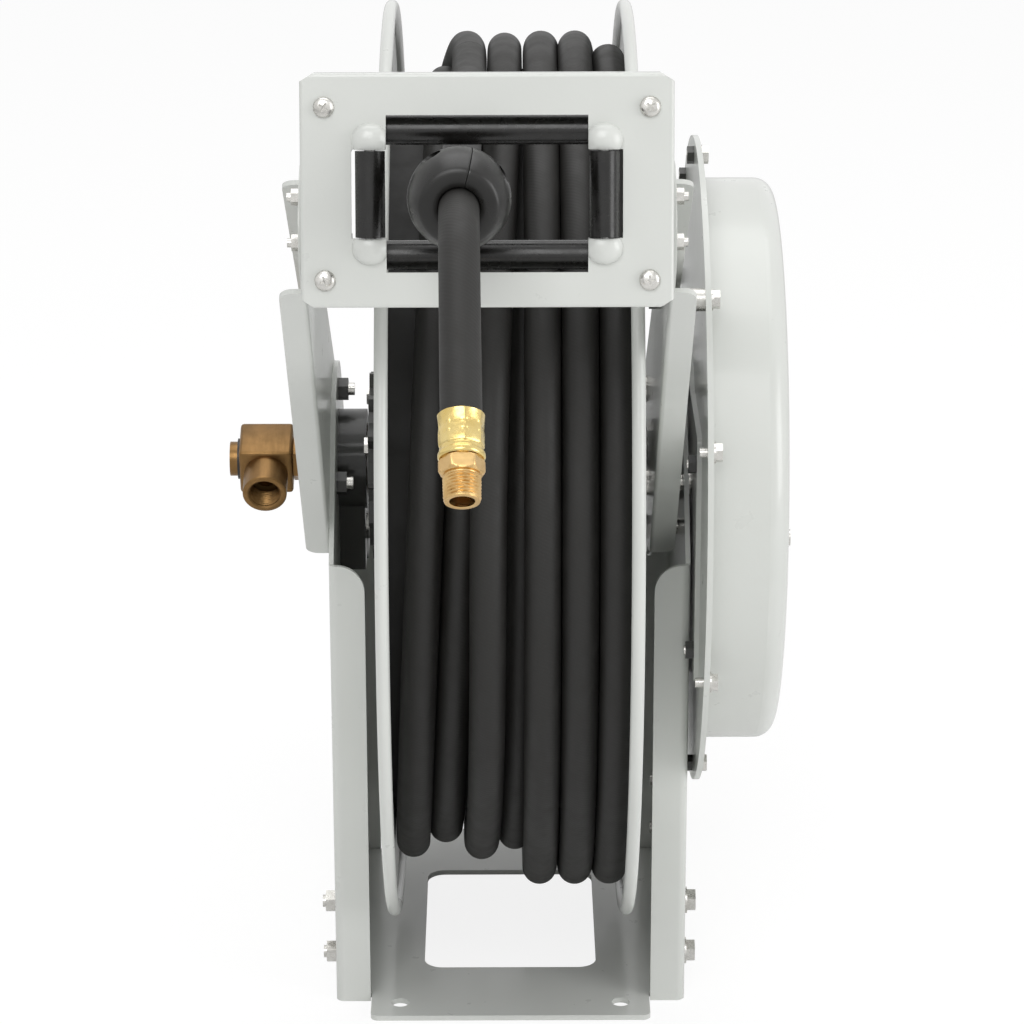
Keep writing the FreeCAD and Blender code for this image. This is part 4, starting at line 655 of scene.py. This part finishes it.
    def stop_halves(self) -> None:
        """The moulded stop: two halves on a leaning seam, screwed together through four pockets."""
        screw_off, pocket_radius, pocket_depth = 18 * MM, 4.3 * MM, 36 * MM
        radius, seam = 27.3 * MM, math.radians(15.0)
        profile = [(radius * math.sin(math.radians(angle)), radius * math.cos(math.radians(angle)))
                   for angle in range(156, 52, -4)]
        profile += [(r * MM, h * MM) for r, h in ((21.4, 16.9), (20.7, 17.7), (19.6, 18.3), (18.0, 18.7), (14.0, 18.9),
                                                  (11.6, 18.9), (11.1, 18.7), (10.9, 18.2), (10.9, -24.4))]
        up = Vector((math.sin(seam), 0.0, math.cos(seam)))
        front = Vector((0.0, -1.0, 0.0))
        right = up.cross(front)
        seat = Matrix.Translation(self.stop) @ Matrix((right, up, front)).transposed().to_4x4()
        for side, node in ((-1, "left_stop_half"), (1, "right_stop_half")):
            part = bmesh.new()
            verts = [part.verts.new((r, 0.0, h)) for r, h in profile]
            edges = [part.edges.new(pair) for pair in zip(verts, verts[1:] + verts[:1])]
            face = bmesh.ops.contextual_create(part, geom=edges)["faces"]
            bmesh.ops.rotate(part, cent=(0, 0, 0), verts=part.verts,
                             matrix=Matrix.Rotation(-side * math.pi / 2, 3, "Z"))
            bmesh.ops.spin(part, geom=face + edges + verts, cent=(0, 0, 0), axis=(0, 0, 1), angle=math.pi,
                           steps=56)
            ends = [one for one in part.faces if len(one.verts) > 8]
            rim = list({edge for one in ends for edge in one.edges})
            bmesh.ops.bevel(part, geom=rim, offset=0.35 * MM, affect="EDGES", segments=2, profile=0.5, material=-1)
            bmesh.ops.transform(part, matrix=seat @ Matrix.Translation((side * 0.12 * MM, 0, 0)), verts=part.verts)
            half = to_object(part, f"moulded_{node}", STOP, 40.0)
            holes = bmesh.new()
            for high in (-1, 1):
                spot = seat @ Matrix.Translation((side * 27 * MM, high * screw_off, 0.0))
                bmesh.ops.create_cone(holes, cap_ends=True, segments=40, radius1=pocket_radius,
                                      radius2=pocket_radius, depth=pocket_depth,
                                      matrix=spot @ Matrix.Rotation(math.pi / 2, 4, "Y"))
            carve(half, holes)
            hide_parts(node)
            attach(half, "frame")
        screws = bmesh.new()
        for high in (-1, 1):
            spot = (seat @ Matrix.Translation((0.0, high * screw_off, 0.0))
                    @ Matrix.Rotation(math.pi / 2, 4, "Y"))
            turned([(0.0, -8.9 * MM), (2.4 * MM, -8.9 * MM), (2.4 * MM, 9.1 * MM), (3.7 * MM, 9.1 * MM),
                    (3.8 * MM, 11.6 * MM), (3.0 * MM, 12.4 * MM), (1.4 * MM, 12.4 * MM), (1.3 * MM, 11.0 * MM),
                    (0.0, 11.0 * MM)], 32, spot, screws)
        thing = to_object(screws, "stop_cap_screws", DARK_ZINC, 40.0)
        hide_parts("stop_screws")
        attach(thing, "frame")


# Swivel


@dataclass
class Swivel:
    """The brass elbow of the inlet, tilted with its port."""

    middle: float = -155.5 * MM
    width: float = 34.0 * MM
    half: float = 16.0 * MM
    tilt: float = math.radians(19.0)

    def build(self) -> None:
        """Builds the elbow's block and its threaded port."""
        seat = Matrix.Translation((self.middle, 0.0, AXLE.z)) @ Matrix.Rotation(self.tilt, 4, "X")
        block = bmesh.new()
        bmesh.ops.create_cube(block, size=1.0, matrix=seat @ Matrix.Translation((0, 0, 0.5 * MM)) @ Matrix.Diagonal(
            (self.width, 2 * self.half, 2 * self.half + MM, 1.0)))
        bmesh.ops.bevel(block, geom=list(block.edges), offset=2.2 * MM, affect="EDGES", segments=3, profile=0.5,
                        material=-1)
        port = bmesh.new()
        around = 96
        rings = []
        outside = ((4.0, 14.0), (35.2, 14.1), (36.2, 14.0), (36.8, 13.5), (37.0, 12.9), (37.0, 10.9), (36.5, 10.3))
        for height, radius in outside:
            rings.append([self.point(radius, height, k / around) for k in range(around)])
        rows = 70
        for i in range(rows + 1):
            height = 36.2 - 15.0 * i / rows
            fade = min(1.0, i / 6.0, (rows - i) / 6.0)
            threads = [abs((height / THREAD_PITCH + k / around) % 1.0 - 0.5) for k in range(around)]
            rings.append([self.point(9.9 - 0.9 * fade * depth * 2.0, height, k / around)
                          for k, depth in enumerate(threads)])
        for height, radius in ((21.0, 6.2), (6.0, 6.0)):
            rings.append([self.point(radius, height, k / around) for k in range(around)])
        skin(port, rings)
        bmesh.ops.transform(port, matrix=seat, verts=port.verts)
        merge(port, block)
        body = to_object(block, "swivel_elbow", BRASS, 32.0)
        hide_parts("swivel_body")
        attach(body, "inlet_swivel")

    @staticmethod
    def point(radius: float, reach: float, turn: float) -> Vector:
        """A point round the port's axis, which runs forward from the middle."""
        return Vector((math.cos(TAU * turn) * radius, -reach, math.sin(TAU * turn) * radius)) * MM


# Guide head


@dataclass
class GuideHead:
    """Screws that show on the guide head."""

    across: float = 87.0 * MM
    along: float = 46.2 * MM

    def build(self) -> None:
        """Builds the four pan head screws as one piece."""
        body = bmesh.new()
        blades = (bmesh.new(), bmesh.new())
        for i, (side, up) in enumerate(((-1, -1), (-1, 1), (1, -1), (1, 1))):
            spot = head_matrix() @ Matrix.Translation((side * self.across, 0.0, up * self.along))
            seat = spot @ facing_front()
            turned([(0.0, -6 * MM), (3 * MM, -6 * MM), (3 * MM, 0.0), (5.5 * MM, 0.0), (5.7 * MM, 0.5 * MM),
                    (5.6 * MM, 1.3 * MM), (5.1 * MM, 2.3 * MM), (4.2 * MM, 3.0 * MM), (2.8 * MM, 3.4 * MM),
                    (1.2 * MM, 3.55 * MM), (0.0, 3.6 * MM)], 48, seat, body)
            spin = Matrix.Rotation(math.radians(20 + 37 * i), 4, "Z")
            for quarter, slots in enumerate(blades):
                turn = seat @ spin @ Matrix.Rotation(quarter * math.pi / 2, 4, "Z")
                blade = turn @ Matrix.Translation((0, 0, 3.3 * MM)) @ Matrix.Diagonal(
                    (5.4 * MM, 1.15 * MM, 3.6 * MM, 1))
                bmesh.ops.create_cube(slots, size=1.0, matrix=blade)
        screws = to_object(body, "guide_pan_screws", ZINC, 40.0)
        for slots in blades:
            carve(screws, slots)
        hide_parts("guide_screws")
        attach(screws, "frame")
        LOG.info("guide screws built")


# Studio


@dataclass
class Studio:
    """Camera, lamps, world and floor."""

    focal_px: float = 3840.3
    image_px: float = 1024.0
    sensor_mm: float = 36.0
    eye: tuple[float, float, float] = (-0.0042, -2.3329, 1.1425)
    pitch: float = -20.0
    yaw: float = -0.148
    roll: float = 0.1
    surround: float = 0.52
    floor_half: float = 6.0
    floor_glow: float = 1.06
    floor_share: float = 0.80

    def camera(self) -> None:
        """Sets the camera at the viewing angle of the photograph."""
        data = bpy.data.cameras.new("camera")
        data.sensor_width = self.sensor_mm
        data.lens = self.focal_px * self.sensor_mm / self.image_px
        data.clip_end = 50.0
        thing = bpy.data.objects.new("camera", data)
        bpy.context.collection.objects.link(thing)
        turn = (Matrix.Rotation(math.radians(self.yaw), 4, "Z") @ Matrix.Rotation(math.radians(self.pitch), 4, "X")
                @ Matrix.Rotation(math.radians(self.roll), 4, "Y") @ Matrix.Rotation(math.pi / 2, 4, "X"))
        thing.matrix_world = Matrix.Translation(self.eye) @ turn
        bpy.context.scene.camera = thing

    @staticmethod
    def lamp(name: str, spot: tuple[float, float, float], aim: tuple[float, float, float], size: tuple[float, float],
             power: float) -> None:
        """A soft rectangular lamp that looks at a point."""
        data = bpy.data.lights.new(name, "AREA")
        data.shape = "RECTANGLE"
        data.size, data.size_y = size
        data.energy = power
        thing = bpy.data.objects.new(name, data)
        bpy.context.collection.objects.link(thing)
        way = Vector(aim) - Vector(spot)
        thing.matrix_world = Matrix.Translation(spot) @ way.to_track_quat("-Z", "Y").to_matrix().to_4x4()

    def world(self) -> None:
        """A pale surround that shows white to the camera and in reflections."""
        world = bpy.data.worlds.new("studio")
        bpy.context.scene.world = world
        world.use_nodes = True
        tree = world.node_tree
        tree.nodes.clear()
        path = tree.nodes.new("ShaderNodeLightPath")
        seen = tree.nodes.new("ShaderNodeMath")
        seen.operation = "MAXIMUM"
        tree.links.new(path.outputs["Is Camera Ray"], seen.inputs[0])
        tree.links.new(path.outputs["Is Transmission Ray"], seen.inputs[1])
        mix = tree.nodes.new("ShaderNodeMapRange")
        mix.inputs["To Min"].default_value = self.surround
        mix.inputs["To Max"].default_value = 1.0
        shine = tree.nodes.new("ShaderNodeMath")
        shine.operation = "MAXIMUM"
        tree.links.new(seen.outputs[0], shine.inputs[0])
        tree.links.new(path.outputs["Is Glossy Ray"], shine.inputs[1])
        tree.links.new(shine.outputs[0], mix.inputs["Value"])
        shade = tree.nodes.new("ShaderNodeBackground")
        shade.inputs["Color"].default_value = (1, 1, 1, 1)
        tree.links.new(mix.outputs[0], shade.inputs["Strength"])
        out = tree.nodes.new("ShaderNodeOutputWorld")
        tree.links.new(shade.outputs[0], out.inputs["Surface"])

    def floor(self) -> None:
        """A plain white floor that keeps the object's shadow."""
        part = bmesh.new()
        bmesh.ops.create_grid(part, x_segments=1, y_segments=1, size=self.floor_half)
        data = bpy.data.meshes.new("floor")
        part.to_mesh(data)
        part.free()
        thing = bpy.data.objects.new("floor", data)
        bpy.context.collection.objects.link(thing)
        nodes = Nodes("floor_white")
        nodes.set(Base_Color=(0.93, 0.93, 0.93, 1.0), Roughness=0.9)
        data.materials.append(nodes.material)
        path = nodes.add("ShaderNodeLightPath")
        glow = nodes.add("ShaderNodeEmission")
        glow.inputs["Strength"].default_value = self.floor_glow
        mix = nodes.add("ShaderNodeMixShader")
        share = nodes.math("MULTIPLY", path.outputs["Is Camera Ray"], self.floor_share)
        nodes.link(share, mix.inputs[0])
        nodes.link(nodes.shader.outputs[0], mix.inputs[1])
        nodes.link(glow.outputs[0], mix.inputs[2])
        nodes.link(mix.outputs[0], nodes.output.inputs["Surface"])

    def build(self) -> None:
        """Builds the whole studio."""
        bpy.context.scene.view_settings.view_transform = "Standard"
        self.camera()
        self.world()
        self.floor()
        self.lamp("key", (-0.5, -2.4, 2.4), (0, 0, 0.35), (1.6, 1.6), 28.0)
        self.lamp("fill", (2.4, -1.5, 1.1), (0, 0, 0.3), (1.4, 1.8), 24.0)
        self.lamp("top", (0.0, 0.4, 2.6), (0, 0, 0.3), (2.0, 2.0), 18.0)


def dress_frame() -> None:
    """Gives every CAD node the finish of its slot."""
    by_slot = {finish.slot: finish for finish in FINISHES}
    slots = {row["node"]: row["material_slot"] for row in frame["record"]["subparts"]}
    for name, node in frame["nodes"].items():
        finish = by_slot[slots[name]]
        material = finish.build()
        for slot in node.material_slots:
            slot.material = material


def main() -> None:
    """Builds the scene in order."""
    logging.basicConfig(level=logging.INFO, format="%(name)s: %(message)s")
    Studio().build()
    Hose().build()
    Swivel().build()
    GuideHead().build()
    dress_frame()


if __name__ == "__main__":
    main()
